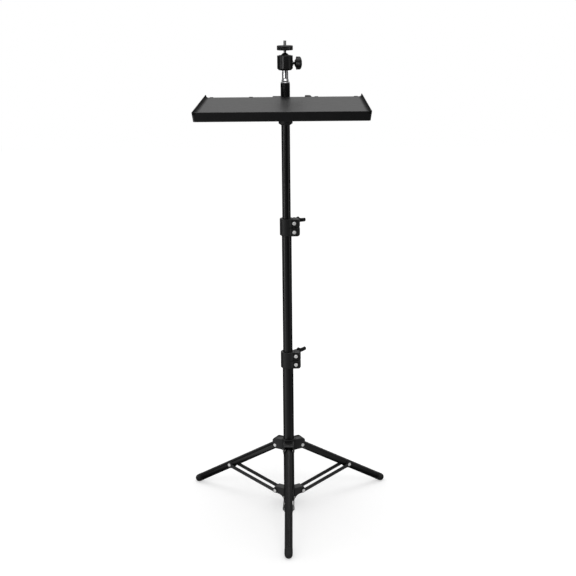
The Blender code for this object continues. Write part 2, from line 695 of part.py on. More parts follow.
def make_spider(frames):
    """The fixed foot of the column, with a lug for each pair of braces."""
    hub = turned("lower_spider", [
        (0, SPIDER_HUB_TOP + SPIDER_SPIGOT), (COLUMN_R - TUBE_WALL - GAP, SPIDER_HUB_TOP + SPIDER_SPIGOT),
        (COLUMN_R - TUBE_WALL - GAP, SPIDER_HUB_TOP), (SPIDER_HUB_R, SPIDER_HUB_TOP),
        (SPIDER_HUB_R, SPIDER_HUB_BOTTOM), (0, SPIDER_HUB_BOTTOM)])
    put(hub, ROOT)
    bore = put(rod("spider_bore", SPIDER_HUB_R - SPIDER_WALL, SPIDER_HUB_BOTTOM - REACH_PAST,
                   SPIDER_HUB_TOP - SPIDER_WEB), ROOT)
    ears, holes = [], []
    for side, frame in frames.items():
        ear = plate("spider_ear_" + side, spider_ear_outline(), 2 * SPIDER_EAR_HALF, "Y", True)
        ears.append(put(ear, frame, (0, 0, SPIDER_PIVOT_Z)))
        hole = rod("spider_pin_hole_" + side, PIN_R + GAP, -REACH_PAST, REACH_PAST)
        holes.append(across(hole, frame, (SPIDER_PIVOT_R, 0, SPIDER_PIVOT_Z)))
        pin = rivet("spider_pin_" + side, BAR_INNER + BAR_T + GAP)
        finish(across(pin, frame, (SPIDER_PIVOT_R, 0, SPIDER_PIVOT_Z)), "bright_steel")
    fuse(hub, *ears)
    cut(hub, bore, *holes)
    finish(hub, "black_plastic")
    stem_r = SPIDER_HUB_R - SPIDER_WALL - GAP
    rim_r = SPIDER_HUB_R - END_CAP_INSET
    top = SPIDER_HUB_BOTTOM - GAP
    cap = turned("column_end_cap", [
        (0, top + END_CAP_STEM), (stem_r, top + END_CAP_STEM), (stem_r, top), (rim_r, top),
        (rim_r, top - END_CAP_T + EDGE), (rim_r - EDGE, top - END_CAP_T), (0, top - END_CAP_T)])
    finish(put(cap, ROOT), "rubber")


def spider_ear_outline():
    """A lug with a flat top, a round outer end and a hollow curve down to the hub."""
    inner = SPIDER_EAR_ROOT
    end = arc((SPIDER_PIVOT_R, 0), SPIDER_EAR_R, -90, 20, 7)
    shoulder = arc((SPIDER_PIVOT_R - EDGE, SPIDER_EAR_UP - SPIDER_EAR_ROUND), SPIDER_EAR_ROUND, 20, 90, 4)
    foot_z = SPIDER_EAR_FOOT - SPIDER_HUB_DOWN
    sweep_r = SPIDER_PIVOT_R - SPIDER_HUB_R - SPIDER_SWEEP_MARGIN
    rise = -SPIDER_EAR_R - foot_z
    hollow = [(SPIDER_HUB_R + sweep_r * (1 - math.cos(t)), foot_z + rise * math.sin(t))
              for t in (math.radians(a) for a in (0, 20, 40, 60, 80))]
    return [(inner, foot_z)] + hollow + end + shoulder + [(inner, SPIDER_EAR_UP)]


def make_leg(side, frame):
    """Tube, rubber foot, brace saddle and top plug; the pivot frame's Z runs down the leg."""
    pivot = empty("leg_pivot_" + side, frame, (CROWN_PIVOT_R, 0, CROWN_PIVOT_Z),
                  (0, math.radians(90) + LEG_ANGLE, 0))
    inner = LEG_R - LEG_WALL
    tube_end = LEG_LENGTH - FOOT_SKIRT
    tube = ring("leg_tube_" + side, LEG_R, inner, -LEG_BEHIND_PIVOT, tube_end)
    foot = turned("leg_foot_" + side, foot_profile(inner - GAP, tube_end + GAP))
    saddle = ring("leg_saddle_" + side, SADDLE_HALF, LEG_R + GAP, -SADDLE_LENGTH / 2, SADDLE_LENGTH / 2)
    plug = rod("leg_top_plug_" + side, inner - GAP, -LEG_BEHIND_PIVOT, PLUG_LENGTH - LEG_BEHIND_PIVOT,
               cutter=False)
    hole = across(rod("leg_top_hole_" + side, PIN_R + GAP, -REACH_PAST, REACH_PAST), pivot)
    saddle_hole = rod("leg_pin_hole_" + side, PIN_R + GAP, -REACH_PAST, REACH_PAST)
    across(saddle_hole, pivot, (0, 0, BRACE_PIN_ALONG_LEG))
    cut(put(tube, pivot), hole, saddle_hole)
    cut(put(plug, pivot), hole)
    put(foot, pivot)
    room = SADDLE_HALF + REACH_PAST
    opening = box("saddle_opening_" + side, (-room, -room, -room), (-SADDLE_OPEN, room, room))
    put(opening, pivot, (0, 0, BRACE_PIN_ALONG_LEG))
    cut(put(saddle, pivot, (0, 0, BRACE_PIN_ALONG_LEG)), saddle_hole, opening)
    finish(tube, "black_tube")
    finish(foot, "rubber")
    finish(saddle, "black_plastic")
    finish(plug, "black_plastic")


def foot_profile(spigot_r, start):
    """The spigot in the tube, a short skirt and the round end that stands on the floor."""
    dome = [(FOOT_R * math.cos(math.radians(a)), LEG_LENGTH + FOOT_R * math.sin(math.radians(a)))
            for a in (90, 65, 42, 20, 0)]
    dome[0] = (0, LEG_LENGTH + FOOT_R)
    return dome + [(FOOT_R, start), (spigot_r, start), (spigot_r, start - FOOT_SPIGOT),
                   (0, start - FOOT_SPIGOT)]


def bar_outline():
    """A flat strip with eyes at both ends, drawn with its length upward."""
    spread = math.degrees(math.asin(BAR_HALF_H / BAR_END_R))
    top = arc((0, BRACE_LENGTH), BAR_END_R, spread - 90, 270 - spread, 8)
    bottom = arc((0, 0), BAR_END_R, 90 + spread, 450 - spread, 8)
    return top + bottom


def make_brace(side, frame):
    """Two parallel bars astride the lug and the leg; a rivet ends each bar beside the leg's saddle."""
    pivot = empty("brace_pivot_" + side, frame, (SPIDER_PIVOT_R, 0, SPIDER_PIVOT_Z),
                  (0, math.radians(90) - BRACE_ANGLE, 0))
    for sign, hand in ((-1, "a"), (1, "b")):
        bar = plate(f"brace_bar_{side}_{hand}", bar_outline(), BAR_T, "Y")
        put(bar, pivot, (0, sign * (BAR_INNER + BAR_T / 2), 0))
        for height, end in ((0, "low"), (BRACE_LENGTH, "high")):
            hole = rod(f"bar_hole_{side}_{hand}_{end}", PIN_R + GAP, -REACH_PAST, REACH_PAST)
            cut(bar, across(hole, pivot, (0, 0, height)))
        finish(bar, "black_tube")
        stub = turned(f"brace_rivet_{side}_{hand}", stub_profile(), FINE_SIDES)
        put(stub, pivot, (0, sign * BAR_INNER, BRACE_LENGTH), (math.radians(-90 * sign), 0, 0))
        finish(stub, "bright_steel")


def stub_profile():
    """A one-headed rivet: its shank fills the bar's hole, its head lies outside."""
    under = BAR_T + GAP
    return [(0, under + PIN_HEAD_T), (0.7 * PIN_HEAD_R, under + 0.9 * PIN_HEAD_T),
            (PIN_HEAD_R, under), (PIN_R, under), (PIN_R, 0), (0, 0)]


def make_tray(seat):
    """A moulded tray: shallow recess, three rims, deep skirt, open ribs below and four small rear stops."""
    half = TRAY_WIDTH / 2
    tray = box("tray_pan", (-half, TRAY_FRONT_Y, TRAY_SKIRT_Z), (half, TRAY_BACK_Y, TRAY_RIM_Z), False,
               TRAY_DRAW)
    round_front_corners(tray, TRAY_CORNER_R)
    inside = half - TRAY_WALL
    recess = box("tray_recess", (-inside, TRAY_FRONT_Y + TRAY_WALL, TRAY_FLOOR_Z),
                 (inside, TRAY_BACK_Y + REACH_PAST, TRAY_RIM_Z + REACH_PAST))
    soften(recess, TRAY_FILLET_R, 4)
    under = inside - TRAY_DRAW
    back = TRAY_BACK_Y - TRAY_WALL
    front = TRAY_FRONT_Y + TRAY_WALL + TRAY_DRAW
    bay = ARM_HALF_W + BAY_MARGIN
    middle = box("tray_bay", (-bay, front, TRAY_SKIRT_Z - REACH_PAST), (bay, back, TRAY_UNDER_Z))
    pockets = tray_pockets(bay + RIB_T, under, front, back)
    room = SOCKET_R + SOCKET_ROOM
    notch = box("tray_notch", (-room - TRAY_SHIFT_X, back - SOCKET_ROOM, TRAY_SKIRT_Z - REACH_PAST),
                (room - TRAY_SHIFT_X, TRAY_BACK_Y + REACH_PAST, TRAY_UNDER_Z))
    stops = tray_stops()
    for piece in (tray, recess, middle, pockets, notch, stops):
        put(piece, seat, (TRAY_SHIFT_X, 0, 0))
    cut(tray, recess, middle, pockets, notch)
    fuse(tray, stops)
    cut(tray, *screw_holes("tray_screw_hole", seat, SCREW_R + GAP, TRAY_UNDER_Z - REACH_PAST, SCREW_TIP))
    return finish(shade(tray, 30), "tray_black")


def round_front_corners(tray, radius):
    """Rounds the two upright front corners of the tray's block."""
    work = bmesh.new()
    work.from_mesh(tray.data)
    upright = [edge for edge in work.edges
               if all(vert.co.y < TRAY_FRONT_Y + 2 * TRAY_DRAW for vert in edge.verts)
               and abs(edge.verts[0].co.z - edge.verts[1].co.z) > TRAY_SKIRT / 2]
    bmesh.ops.bevel(work, geom=upright, offset=radius, segments=4, profile=0.5, affect="EDGES")
    work.to_mesh(tray.data)
    work.free()


def boxes(name, corners, cutter=True):
    """Several separate boxes in one mesh."""

    def build(work):
        for low, high in corners:
            size = Vector(high) - Vector(low)
            place = Matrix.Translation((Vector(low) + Vector(high)) / 2) @ Matrix.Diagonal((*size, 1))
            bmesh.ops.create_cube(work, size=1.0, matrix=place)

    return object_from(name, build, cutter)


def tray_pockets(start_x, end_x, front, back):
    """Hollows under the floor, with thin ribs left between them."""
    columns, rows = 2, 4
    step_x = (end_x - start_x + RIB_T) / columns
    step_y = (back - front + RIB_T) / rows
    corners = []
    for side in (-1, 1):
        for column in range(columns):
            near = start_x + column * step_x
            xs = sorted((side * near, side * (near + step_x - RIB_T)))
            for row in range(rows):
                y = front + row * step_y
                corners.append(((xs[0], y, TRAY_SKIRT_Z - REACH_PAST),
                                (xs[1], y + step_y - RIB_T, TRAY_UNDER_Z)))
    return boxes("tray_pockets", corners)


def tray_stops():
    """Low lugs along the open back edge."""
    corners = []
    for x in (-STOP_OUTER_X, -STOP_INNER_X, STOP_INNER_X, STOP_OUTER_X):
        back = TRAY_BACK_Y - STOP_INSET
        corners.append(((x - STOP_W / 2, back - STOP_T, TRAY_FLOOR_Z - STOP_SUNK),
                        (x + STOP_W / 2, back, TRAY_FLOOR_Z + STOP_H)))
    return boxes("tray_stops", corners)


def screw_places():
    return [(x + TRAY_SHIFT_X, SCREW_Y) for x in (-SCREW_SPREAD_X, SCREW_SPREAD_X)]


def screw_holes(name, seat, radius, bottom, top):
    holes = []
    for i, (x, y) in enumerate(screw_places(), 1):
        holes.append(put(rod(f"{name}_{i}", radius, bottom, top, 16), seat, (x, y, 0)))
    return holes


def make_bracket(seat):
    """A socket on the top tube with a stiffened arm under the tray and bosses for the lock knob."""
    socket = turned("tray_bracket", [
        (0, SOCKET_TOP), (SOCKET_R - EDGE, SOCKET_TOP), (SOCKET_R, SOCKET_TOP - EDGE),
        (SOCKET_R, SOCKET_BOTTOM + SOCKET_CHAMFER), (LINER_R + GAP + EDGE, SOCKET_BOTTOM),
        (0, SOCKET_BOTTOM)])
    put(socket, seat)
    arm = plate("bracket_arm", arm_outline(), ARM_T, "Z", True)
    put(arm, seat, (TRAY_SHIFT_X, 0, ARM_TOP - ARM_T / 2))
    gussets = []
    for sign, hand in ((-1, "left"), (1, "right")):
        gusset = plate("bracket_gusset_" + hand, gusset_outline(), GUSSET_T, "X", True)
        gussets.append(put(gusset, seat, (sign * (SOCKET_R - GUSSET_T), 0, 0)))
    side_boss = rod("bracket_side_boss", SIDE_BOSS_R, -SIDE_BOSS_REACH, 0, BOSS_SIDES)
    knob_boss = rod("bracket_knob_boss", KNOB_BOSS_R, 0, KNOB_BOSS_REACH, BOSS_SIDES)
    stud_hole = rod("bracket_stud_hole", KNOB_STUD_R + GAP, LINER_R, KNOB_BOSS_REACH + REACH_PAST)
    plug_hole = rod("bracket_plug_hole", SIDE_HOLE_R, -SIDE_BOSS_REACH - REACH_PAST,
                    -SIDE_BOSS_REACH + SIDE_HOLE_DEPTH)
    bore = put(rod("bracket_bore", LINER_R + GAP, SOCKET_BOTTOM - REACH_PAST, SOCKET_TOP + REACH_PAST,
                   SIDES), seat)
    for piece in (side_boss, knob_boss, stud_hole, plug_hole):
        sideways(piece, seat, (0, 0, TRAY_KNOB_Z))
    fuse(socket, arm, *gussets, side_boss, knob_boss)
    cut(socket, bore, stud_hole, plug_hole)
    cut(socket, *screw_holes("bracket_screw_hole", seat, SCREW_R + GAP, ARM_TOP - REACH_PAST,
                             ARM_TOP + REACH_PAST))
    finish(socket, "black_plastic")
    liner = ring("tray_liner", LINER_R, TOP_R + GAP, SOCKET_BOTTOM - LINER_DOWN, SOCKET_TOP)
    finish(put(liner, seat), "black_plastic")
    for i, (x, y) in enumerate(screw_places(), 1):
        screw = turned(f"tray_screw_{i}", screw_profile(ARM_TOP - ARM_T - GAP), 16)
        finish(put(screw, seat, (x, y, 0)), "bright_steel")


def arm_outline():
    """Seen from above: narrow at the socket, wide under the tray, with rounded front corners."""
    radius = ARM_CORNER_R
    w = ARM_HALF_W
    front = arc((-w + radius, ARM_FRONT_Y + radius), radius, 180, 270, 5)
    front += arc((w - radius, ARM_FRONT_Y + radius), radius, 270, 360, 5)
    root = SOCKET_R - EDGE
    return front + [(w, ARM_SPREAD_Y), (root, ARM_ROOT_Y), (root, ARM_BACK_Y), (-root, ARM_BACK_Y),
                    (-root, ARM_ROOT_Y), (-w, ARM_SPREAD_Y)]


def gusset_outline():
    """Side view of a gusset, as (y, z): deep at the socket and running out under the arm."""
    low = ARM_TOP - ARM_T - GUSSET_DEPTH
    tip = ARM_FRONT_Y + GUSSET_END
    inside_arm = ARM_TOP - ARM_T / 2
    return [(ARM_BACK_Y, inside_arm), (tip, inside_arm), (tip, ARM_TOP - ARM_T - ARM_LIP),
            (GUSSET_KNEE_Y, low + GUSSET_KNEE), (GUSSET_FOOT_Y, low), (ARM_BACK_Y, low)]


def screw_profile(head_top):
    head_low = head_top - SCREW_HEAD_T
    tip = SCREW_TIP - GAP
    return [(0, tip), (SCREW_R, tip), (SCREW_R, head_top), (SCREW_HEAD_R, head_top),
            (SCREW_HEAD_R, head_low + SCREW_EDGE), (SCREW_HEAD_R - SCREW_EDGE, head_low), (0, head_low)]


def make_head():
    """Post on the top tube, chrome spigot, ball housing, ball with its stud, and the locking disc."""
    post = turned("head_post", [
        (0, POST_TOP), (POST_R - FINE_EDGE, POST_TOP), (POST_R, POST_TOP - FINE_EDGE),
        (POST_R, TOP_TUBE_END + GAP),
        (TOP_R - TUBE_WALL - GAP, TOP_TUBE_END + GAP), (TOP_R - TUBE_WALL - GAP, TOP_TUBE_END - POST_SPIGOT),
        (0, TOP_TUBE_END - POST_SPIGOT)])
    hole = rod("post_hole", SPIGOT_STUB_R + GAP, POST_TOP - SPIGOT_STUB - EDGE, POST_TOP + REACH_PAST)
    cut(put(post, ROOT), put(hole, ROOT))
    finish(post, "black_tube")
    finish(put(turned("head_spigot", spigot_profile()), ROOT), "chrome")
    make_housing()
    make_ball()


def spigot_profile():
    """Stub, neck with a groove under its collar, flared foot and lower stub, from the top down."""
    base = POST_TOP + GAP
    top = SPIGOT_TOP
    groove_r = SPIGOT_NECK_R - SPIGOT_GROOVE
    groove_top = top - SPIGOT_COLLAR_H
    groove_low = groove_top - SPIGOT_GROOVE_W
    return [(0, top + SPIGOT_STUB), (SPIGOT_STUB_R, top + SPIGOT_STUB), (SPIGOT_STUB_R, top),
            (SPIGOT_NECK_R, top), (SPIGOT_NECK_R, groove_top),
            (groove_r, groove_top - SPIGOT_SLOPE), (groove_r, groove_low + SPIGOT_SLOPE),
            (SPIGOT_NECK_R, groove_low), (SPIGOT_NECK_R, base + SPIGOT_FLARE_H),
            (SPIGOT_FLARE_R - FINE_EDGE, base + SPIGOT_FOOT_H), (SPIGOT_FLARE_R, base + SPIGOT_FOOT_H - EDGE),
            (SPIGOT_FLARE_R - FINE_EDGE, base), (SPIGOT_STUB_R, base), (SPIGOT_STUB_R, base - SPIGOT_STUB),
            (0, base - SPIGOT_STUB)]


def make_housing():
    """The cup that holds the ball: a round body with a spherical seat and a boss for its lock knob."""
    seat_r = BALL_R + GAP
    mouth = HOUSING_TOP - MOUTH_EDGE
    mouth_angle = math.degrees(math.asin((mouth - BALL_Z) / seat_r))
    steps = 6
    angles = [-90 + (mouth_angle + 90) * i / steps for i in range(steps + 1)]
    cup = [(seat_r * math.cos(math.radians(a)), BALL_Z + seat_r * math.sin(math.radians(a))) for a in angles]
    cup[0] = (0, BALL_Z - seat_r)
    hole_r = SPIGOT_STUB_R + GAP
    hole_top = HOUSING_BOTTOM + SPIGOT_STUB + GAP
    shelf = HOUSING_TOP - HOUSING_STEP
    outer = [(cup[-1][0] + MOUTH_EDGE, HOUSING_TOP), (HOUSING_R - HOUSING_RIM, HOUSING_TOP),
             (HOUSING_R - HOUSING_RIM + FINE_EDGE, shelf), (HOUSING_R - FINE_EDGE, shelf),
             (HOUSING_R, shelf - FINE_EDGE), (HOUSING_R, HOUSING_BOTTOM + HOUSING_CHAMFER),
             (HOUSING_R - HOUSING_CHAMFER, HOUSING_BOTTOM), (hole_r, HOUSING_BOTTOM),
             (hole_r, hole_top), (0, hole_top)]
    housing = put(turned("ball_housing", cup + outer), ROOT)
    boss = rod("ball_boss", BALL_BOSS_R, BOSS_ROOT, BALL_BOSS_REACH, BOSS_SIDES)
    stud_hole = rod("ball_stud_hole", KNOB_STUD_R + GAP, BALL_KNOB_STUD_START - EDGE / 2,
                    BALL_BOSS_REACH + REACH_PAST)
    for piece in (boss, stud_hole):
        sideways(piece, ROOT, (0, 0, BALL_KNOB_Z))
    fuse(housing, boss)
    cut(housing, stud_hole)
    finish(housing, "anodised")
    knob = scalloped_knob("ball_lock_knob", BALL_KNOB_R, BALL_KNOB_T, BALL_KNOB_HUB,
                          BALL_KNOB_STUD_START, BALL_KNOB_START, 7,
                          lambda piece: sideways(piece, ROOT, (0, 0, BALL_KNOB_Z)))
    finish(knob, "black_plastic")


def make_ball():
    """Ball, neck and stud in one piece, turned about its own tilt centre, and the disc on its thread."""
    stud_top = STUD_TOP - BALL_Z
    disc_low = DISC_BOTTOM - BALL_Z
    neck_angle = math.degrees(math.acos(NECK_R / BALL_R))
    steps = 7
    angles = [neck_angle - (neck_angle + 90) * i / steps for i in range(steps + 1)]
    sphere = [(BALL_R * math.cos(math.radians(a)), BALL_R * math.sin(math.radians(a))) for a in angles]
    sphere[-1] = (0, -BALL_R)
    stem = [(0, stud_top), (STUD_R - FINE_EDGE, stud_top), (STUD_R, stud_top - FINE_EDGE),
            (STUD_R, disc_low - STUD_SHOULDER), (NECK_R, disc_low - STUD_SHOULDER - STUD_SLOPE)]
    centre = empty("ball_centre", ROOT, (0, 0, BALL_Z))
    finish(put(turned("ball_stem", stem + sphere), centre), "bright_steel")
    disc = turned("locking_disc", [
        (0, DISC_T / 2), (DISC_R - DISC_CHAMFER, DISC_T / 2), (DISC_R, DISC_T / 2 - DISC_CHAMFER),
        (DISC_R, -DISC_T / 2 + DISC_CHAMFER), (DISC_R - DISC_CHAMFER, -DISC_T / 2), (0, -DISC_T / 2)], 32)
    bore = rod("disc_bore", STUD_R + GAP, -DISC_T, DISC_T)
    for piece in (disc, bore):
        put(piece, centre, (0, 0, disc_low + DISC_T / 2))
    cut(disc, bore)
    finish(disc, "anodised")


def centre_on_box():
    """Moves the root so that the whole stand's box is centred over the origin and stands on z = 0."""
    bpy.context.view_layer.update()
    graph = bpy.context.evaluated_depsgraph_get()
    low = Vector((math.inf,) * 3)
    high = Vector((-math.inf,) * 3)
    for obj in PARTS.objects:
        if obj.type != "MESH":
            continue
        whole = obj.evaluated_get(graph)
        for vert in whole.data.vertices:
            point = whole.matrix_world @ vert.co
            low = Vector(map(min, low, point))
            high = Vector(map(max, high, point))
    ROOT.location = (-(low.x + high.x) / 2, -(low.y + high.y) / 2, -low.z)
    bpy.context.view_layer.update()
    return high - low


def report(size):
    """Prints the places that the joints and mounts need, in metres."""
    print("overall size", [round(v, 5) for v in size])
    print("column axis", [round(v, 6) for v in ROOT.location])
    for obj in PARTS.objects:
        if obj.type == "EMPTY":
            print(obj.name, [round(v, 6) for v in obj.matrix_world.translation])
    print("leg angle", math.degrees(LEG_ANGLE), "brace angle", math.degrees(BRACE_ANGLE))
    print("leg length", LEG_LENGTH, "brace length", BRACE_LENGTH)


def main():
    make_tubes()
    lower = make_clamp("lower", LOWER_SLIT_Z, LOWER_COLLAR_R, COLUMN_R, MID_R)
    make_wing_knob("lower", lower, bolt_x(COLUMN_R), LOWER_WING_ANGLE)
    upper = make_clamp("upper", UPPER_SLIT_Z, UPPER_COLLAR_R, MID_R, TOP_R)
    make_wing_knob("upper", upper, bolt_x(MID_R), UPPER_WING_ANGLE)
    frames = {side: leg_frame(side) for side in LEG_AZIMUTHS}
    make_crown(frames)
    make_spider(frames)
    for side, frame in frames.items():
        make_leg(side, frame)
        make_brace(side, frame)
    tray_seat = empty("tray_seat", ROOT)
    make_tray(tray_seat)
    make_bracket(tray_seat)
    knob = scalloped_knob("tray_lock_knob", TRAY_KNOB_R, TRAY_KNOB_T, TRAY_KNOB_HUB,
                          LINER_R + 2 * GAP, TRAY_KNOB_START, 7,
                          lambda piece: sideways(piece, tray_seat, (0, 0, TRAY_KNOB_Z)))
    finish(knob, "black_plastic")
    make_head()
    report(centre_on_box())


main()
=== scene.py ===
from math import acos, asin, atan2, cos, degrees, hypot, pi, radians, sin, tan, tau

import bmesh
import bpy
from mathutils import Matrix, Vector


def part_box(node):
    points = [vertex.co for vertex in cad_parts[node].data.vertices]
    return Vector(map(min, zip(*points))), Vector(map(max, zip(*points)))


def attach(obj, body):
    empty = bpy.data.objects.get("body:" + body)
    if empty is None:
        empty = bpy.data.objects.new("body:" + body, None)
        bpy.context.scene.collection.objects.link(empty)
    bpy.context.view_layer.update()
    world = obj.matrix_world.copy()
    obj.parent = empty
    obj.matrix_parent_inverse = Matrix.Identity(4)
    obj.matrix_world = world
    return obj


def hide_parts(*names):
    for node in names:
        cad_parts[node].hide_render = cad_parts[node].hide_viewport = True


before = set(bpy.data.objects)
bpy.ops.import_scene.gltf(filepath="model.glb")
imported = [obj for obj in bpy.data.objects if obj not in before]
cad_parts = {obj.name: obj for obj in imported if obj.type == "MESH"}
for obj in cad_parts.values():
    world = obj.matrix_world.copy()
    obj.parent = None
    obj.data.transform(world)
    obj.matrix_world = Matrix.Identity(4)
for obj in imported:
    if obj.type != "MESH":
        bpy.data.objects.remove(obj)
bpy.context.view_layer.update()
SCENE = bpy.context.scene
OWN_PLACE = "own_place"

# Sizes, as the CAD has them, in metres
GAP = 0.0003
COLUMN_R, TUBE_WALL = 0.0125, 0.0012
MID_R = COLUMN_R - TUBE_WALL - GAP
TOP_R = MID_R - TUBE_WALL - GAP
COLUMN_BOTTOM = 0.0503
LOWER_SLIT_Z, UPPER_SLIT_Z = 0.3693, 0.6845
MID_BOTTOM = LOWER_SLIT_Z - GAP - 0.044
TOP_BOTTOM = UPPER_SLIT_Z - GAP - 0.0742
COLLAR_UP, COLLAR_DOWN, COLLAR_TAPER = 0.0203, 0.019, 0.0018
LOWER_COLLAR_R, UPPER_COLLAR_R = 0.0165, 0.0154
SLIT_HALF, LUG_ROOT = 0.0009, 0.004
EAR_REACH, EAR_DOWN, EAR_DEPTH = 0.03, 0.02, 0.019
BOLT_R, BOLT_HEAD_R, BOLT_HEAD_T, BOLT_RISE, NUT_T = 0.0025, 0.0046, 0.0026, 0.0103, 0.0036
BOLT_TURN = 31
WING_TIP_R, WING_SHOULDER_R, WING_HUB_R, WING_HUB_T = 0.0262, 0.0136, 0.008, 0.0132
LOWER_WING_TURN, UPPER_WING_TURN = radians(27), radians(7)
LEG_R, LEG_WALL, FOOT_R, FOOT_REACH, FOOT_SKIRT = 0.009, 0.0011, 0.0093, 0.264, 0.013
CROWN_PIVOT_R, CROWN_PIVOT_Z = 0.031, 0.152
SPIDER_PIVOT_R, SPIDER_PIVOT_Z = 0.033, 0.0325
PIN_ALONG_LEG, LEG_BEHIND_PIVOT = 0.1556, 0.007
PIN_R, PIN_HEAD_R, PIN_HEAD_T = 0.0024, 0.0041, 0.0012
BAR_T, BAR_HALF_H, BAR_END_R = 0.002, 0.0045, 0.0054
SADDLE_HALF = LEG_R + GAP + 0.0009
BAR_INNER = SADDLE_HALF + GAP
CHEEK_INNER = LEG_R + GAP + 0.0005
EAR_HALF = CHEEK_INNER + 0.0029
CROWN_SLEEVE_R, CROWN_DOWN, CROWN_UP, CROWN_SLEEVE_UP = 0.0162, 0.0084, 0.0175, 0.0205
CROWN_KNOB_UP = 0.0085
SPIDER_HUB_R, SPIDER_HUB_BOTTOM, SPIDER_HUB_TOP = 0.0128, 0.0145, 0.05
SPIDER_EAR_DOWN, SPIDER_EAR_UP = 0.0065, 0.0105
KNOB_STUD_R = 0.003
TRAY_WIDTH, TRAY_DEPTH, TRAY_SHIFT_X, TRAY_BACK_Y = 0.342, 0.3343, -0.0035, -0.0127
TRAY_FRONT_Y = TRAY_BACK_Y - TRAY_DEPTH
TRAY_FLOOR_Z, TRAY_RIM, TRAY_FLOOR_T, TRAY_WALL = 0.9768, 0.0057, 0.0024, 0.0024
TRAY_RIM_Z, TRAY_FILLET = TRAY_FLOOR_Z + TRAY_RIM, 0.0044
TRAY_UNDER_Z = TRAY_FLOOR_Z - TRAY_FLOOR_T
TRAY_SKIRT_Z, TRAY_DRAW = TRAY_RIM_Z - 0.0188, 0.0024
SOCKET_R, SOCKET_TOP, SOCKET_BOTTOM, LINER_R = 0.0155, 0.971, 0.9157, TOP_R + GAP + 0.0012
TRAY_KNOB_Z = 0.9668
ARM_TOP, ARM_T = TRAY_UNDER_Z - GAP, 0.004
SCREW_XS, SCREW_Y, SCREW_HOLE_R = (-0.021, 0.021), -0.12, 0.002
SCREW_END_Z = TRAY_FLOOR_Z - 0.0011
TOP_TUBE_END = SOCKET_TOP + 4 * GAP
POST_R, POST_TOP = 0.01025, 1.005
SPIGOT_TOP = POST_TOP + GAP + 0.0276
FLARE_HOLE_Z, FLARE_HOLE_DEEP = POST_TOP + GAP + 0.0042, 0.0074
HOUSING_R, HOUSING_BOTTOM = 0.017, SPIGOT_TOP + GAP
HOUSING_TOP = HOUSING_BOTTOM + 0.0321
DOWEL_R, DOWEL_HOLE_R = 0.003, 0.0033
BALL_R, BALL_Z = 0.0095, HOUSING_TOP - 0.0043
DISC_R, DISC_T, DISC_LOW = 0.0174, 0.01, 0.0147
STUD_R, STUD_TOP, NECK_R = 0.0031, 0.0354, 0.0028
AZIMUTHS = {"front": -90, "left": 150, "right": 30}
# How far a cutter reaches past what it cuts
PAST, WELL_PAST = 0.02, 0.05

LEG_RUN, LEG_DROP = FOOT_REACH - CROWN_PIVOT_R, CROWN_PIVOT_Z - FOOT_R
LEG_LENGTH, LEG_ANGLE = hypot(LEG_RUN, LEG_DROP), atan2(LEG_DROP, LEG_RUN)
BRACE_RUN = CROWN_PIVOT_R + PIN_ALONG_LEG * cos(LEG_ANGLE) - SPIDER_PIVOT_R
BRACE_RISE = CROWN_PIVOT_Z - PIN_ALONG_LEG * sin(LEG_ANGLE) - SPIDER_PIVOT_Z
BRACE_LENGTH, BRACE_ANGLE = hypot(BRACE_RUN, BRACE_RISE), atan2(BRACE_RISE, BRACE_RUN)

low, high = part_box("column_tube")
ROOT = Matrix.Translation(((low.x + high.x) / 2, (low.y + high.y) / 2, low.z - COLUMN_BOTTOM))
UPRIGHT = Matrix.Identity(4)
ACROSS = Matrix.Rotation(-pi / 2, 4, "X")
SIDEWAYS = Matrix.Rotation(pi / 2, 4, "Y")


def at(x=0.0, y=0.0, z=0.0):
    return Matrix.Translation((x, y, z))


def turned_by(angle, axis="Z"):
    return Matrix.Rotation(radians(angle), 4, axis)


# Materials
GRAIN_DEPTH, BROAD_SCALE = 0.0001, 60.0
# Borders between two finishes on one piece, and the spigot's bore
EDGE_BLUR, BORE_HALF = 0.0001, 0.002


def feed(made, inputs):
    """Gives a node's inputs, by their names or numbers, a value or another node's output each."""
    for key, value in inputs.items():
        if isinstance(value, bpy.types.NodeSocket):
            made.id_data.links.new(value, made.inputs[key])
        else:
            made.inputs[key].default_value = value
    return made


def node(owner, kind, inputs={}, **settings):
    """A new node in a tree, which may be given by one of its sockets."""
    made = owner.id_data.nodes.new("ShaderNode" + kind)
    for key, value in settings.items():
        setattr(made, key, value)
    return feed(made, inputs)


def stretched(tree, scale=(1, 1, 1)):
    """A piece's own coordinates, as it was made along its Z axis, multiplied per axis."""
    where = node(tree, "Attribute", attribute_name=OWN_PLACE).outputs["Vector"]
    return node(tree, "Mapping", {"Vector": where, "Scale": scale}).outputs["Vector"]


def separated(vector):
    return node(vector, "SeparateXYZ", {0: vector}).outputs


def noise(vector, scale, detail=3.0, roughness=0.55):
    return node(vector, "TexNoise", {"Vector": vector, "Scale": scale, "Detail": detail,
                                     "Roughness": roughness}).outputs["Fac"]


def ranged(value, to_low, to_high, from_low=0.3, from_high=0.7, kind="LINEAR"):
    limits = {"From Min": from_low, "From Max": from_high, "To Min": to_low, "To Max": to_high}
    return node(value, "MapRange", {"Value": value, **limits}, interpolation_type=kind).outputs["Result"]


def mixed(factor, first, second):
    first, second = ((*colour, 1) if isinstance(colour, tuple) else colour for colour in (first, second))
    return node(factor, "Mix", {"Factor": factor, 6: first, 7: second}, data_type="RGBA").outputs[2]


def calculated(operation, first, *others):
    """One value changed by itself, or several taken together from left to right."""
    if not others:
        return node(first, "Math", {0: first}, operation=operation).outputs[0]
    for other in others:
        first = node(first, "Math", {0: first, 1: other}, operation=operation).outputs[0]
    return first


def chosen(share, otherwise, then):
    """One shader where the share is 0, and the other one where it is 1."""
    return node(share, "MixShader", {0: share, 1: otherwise, 2: then}).outputs[0]


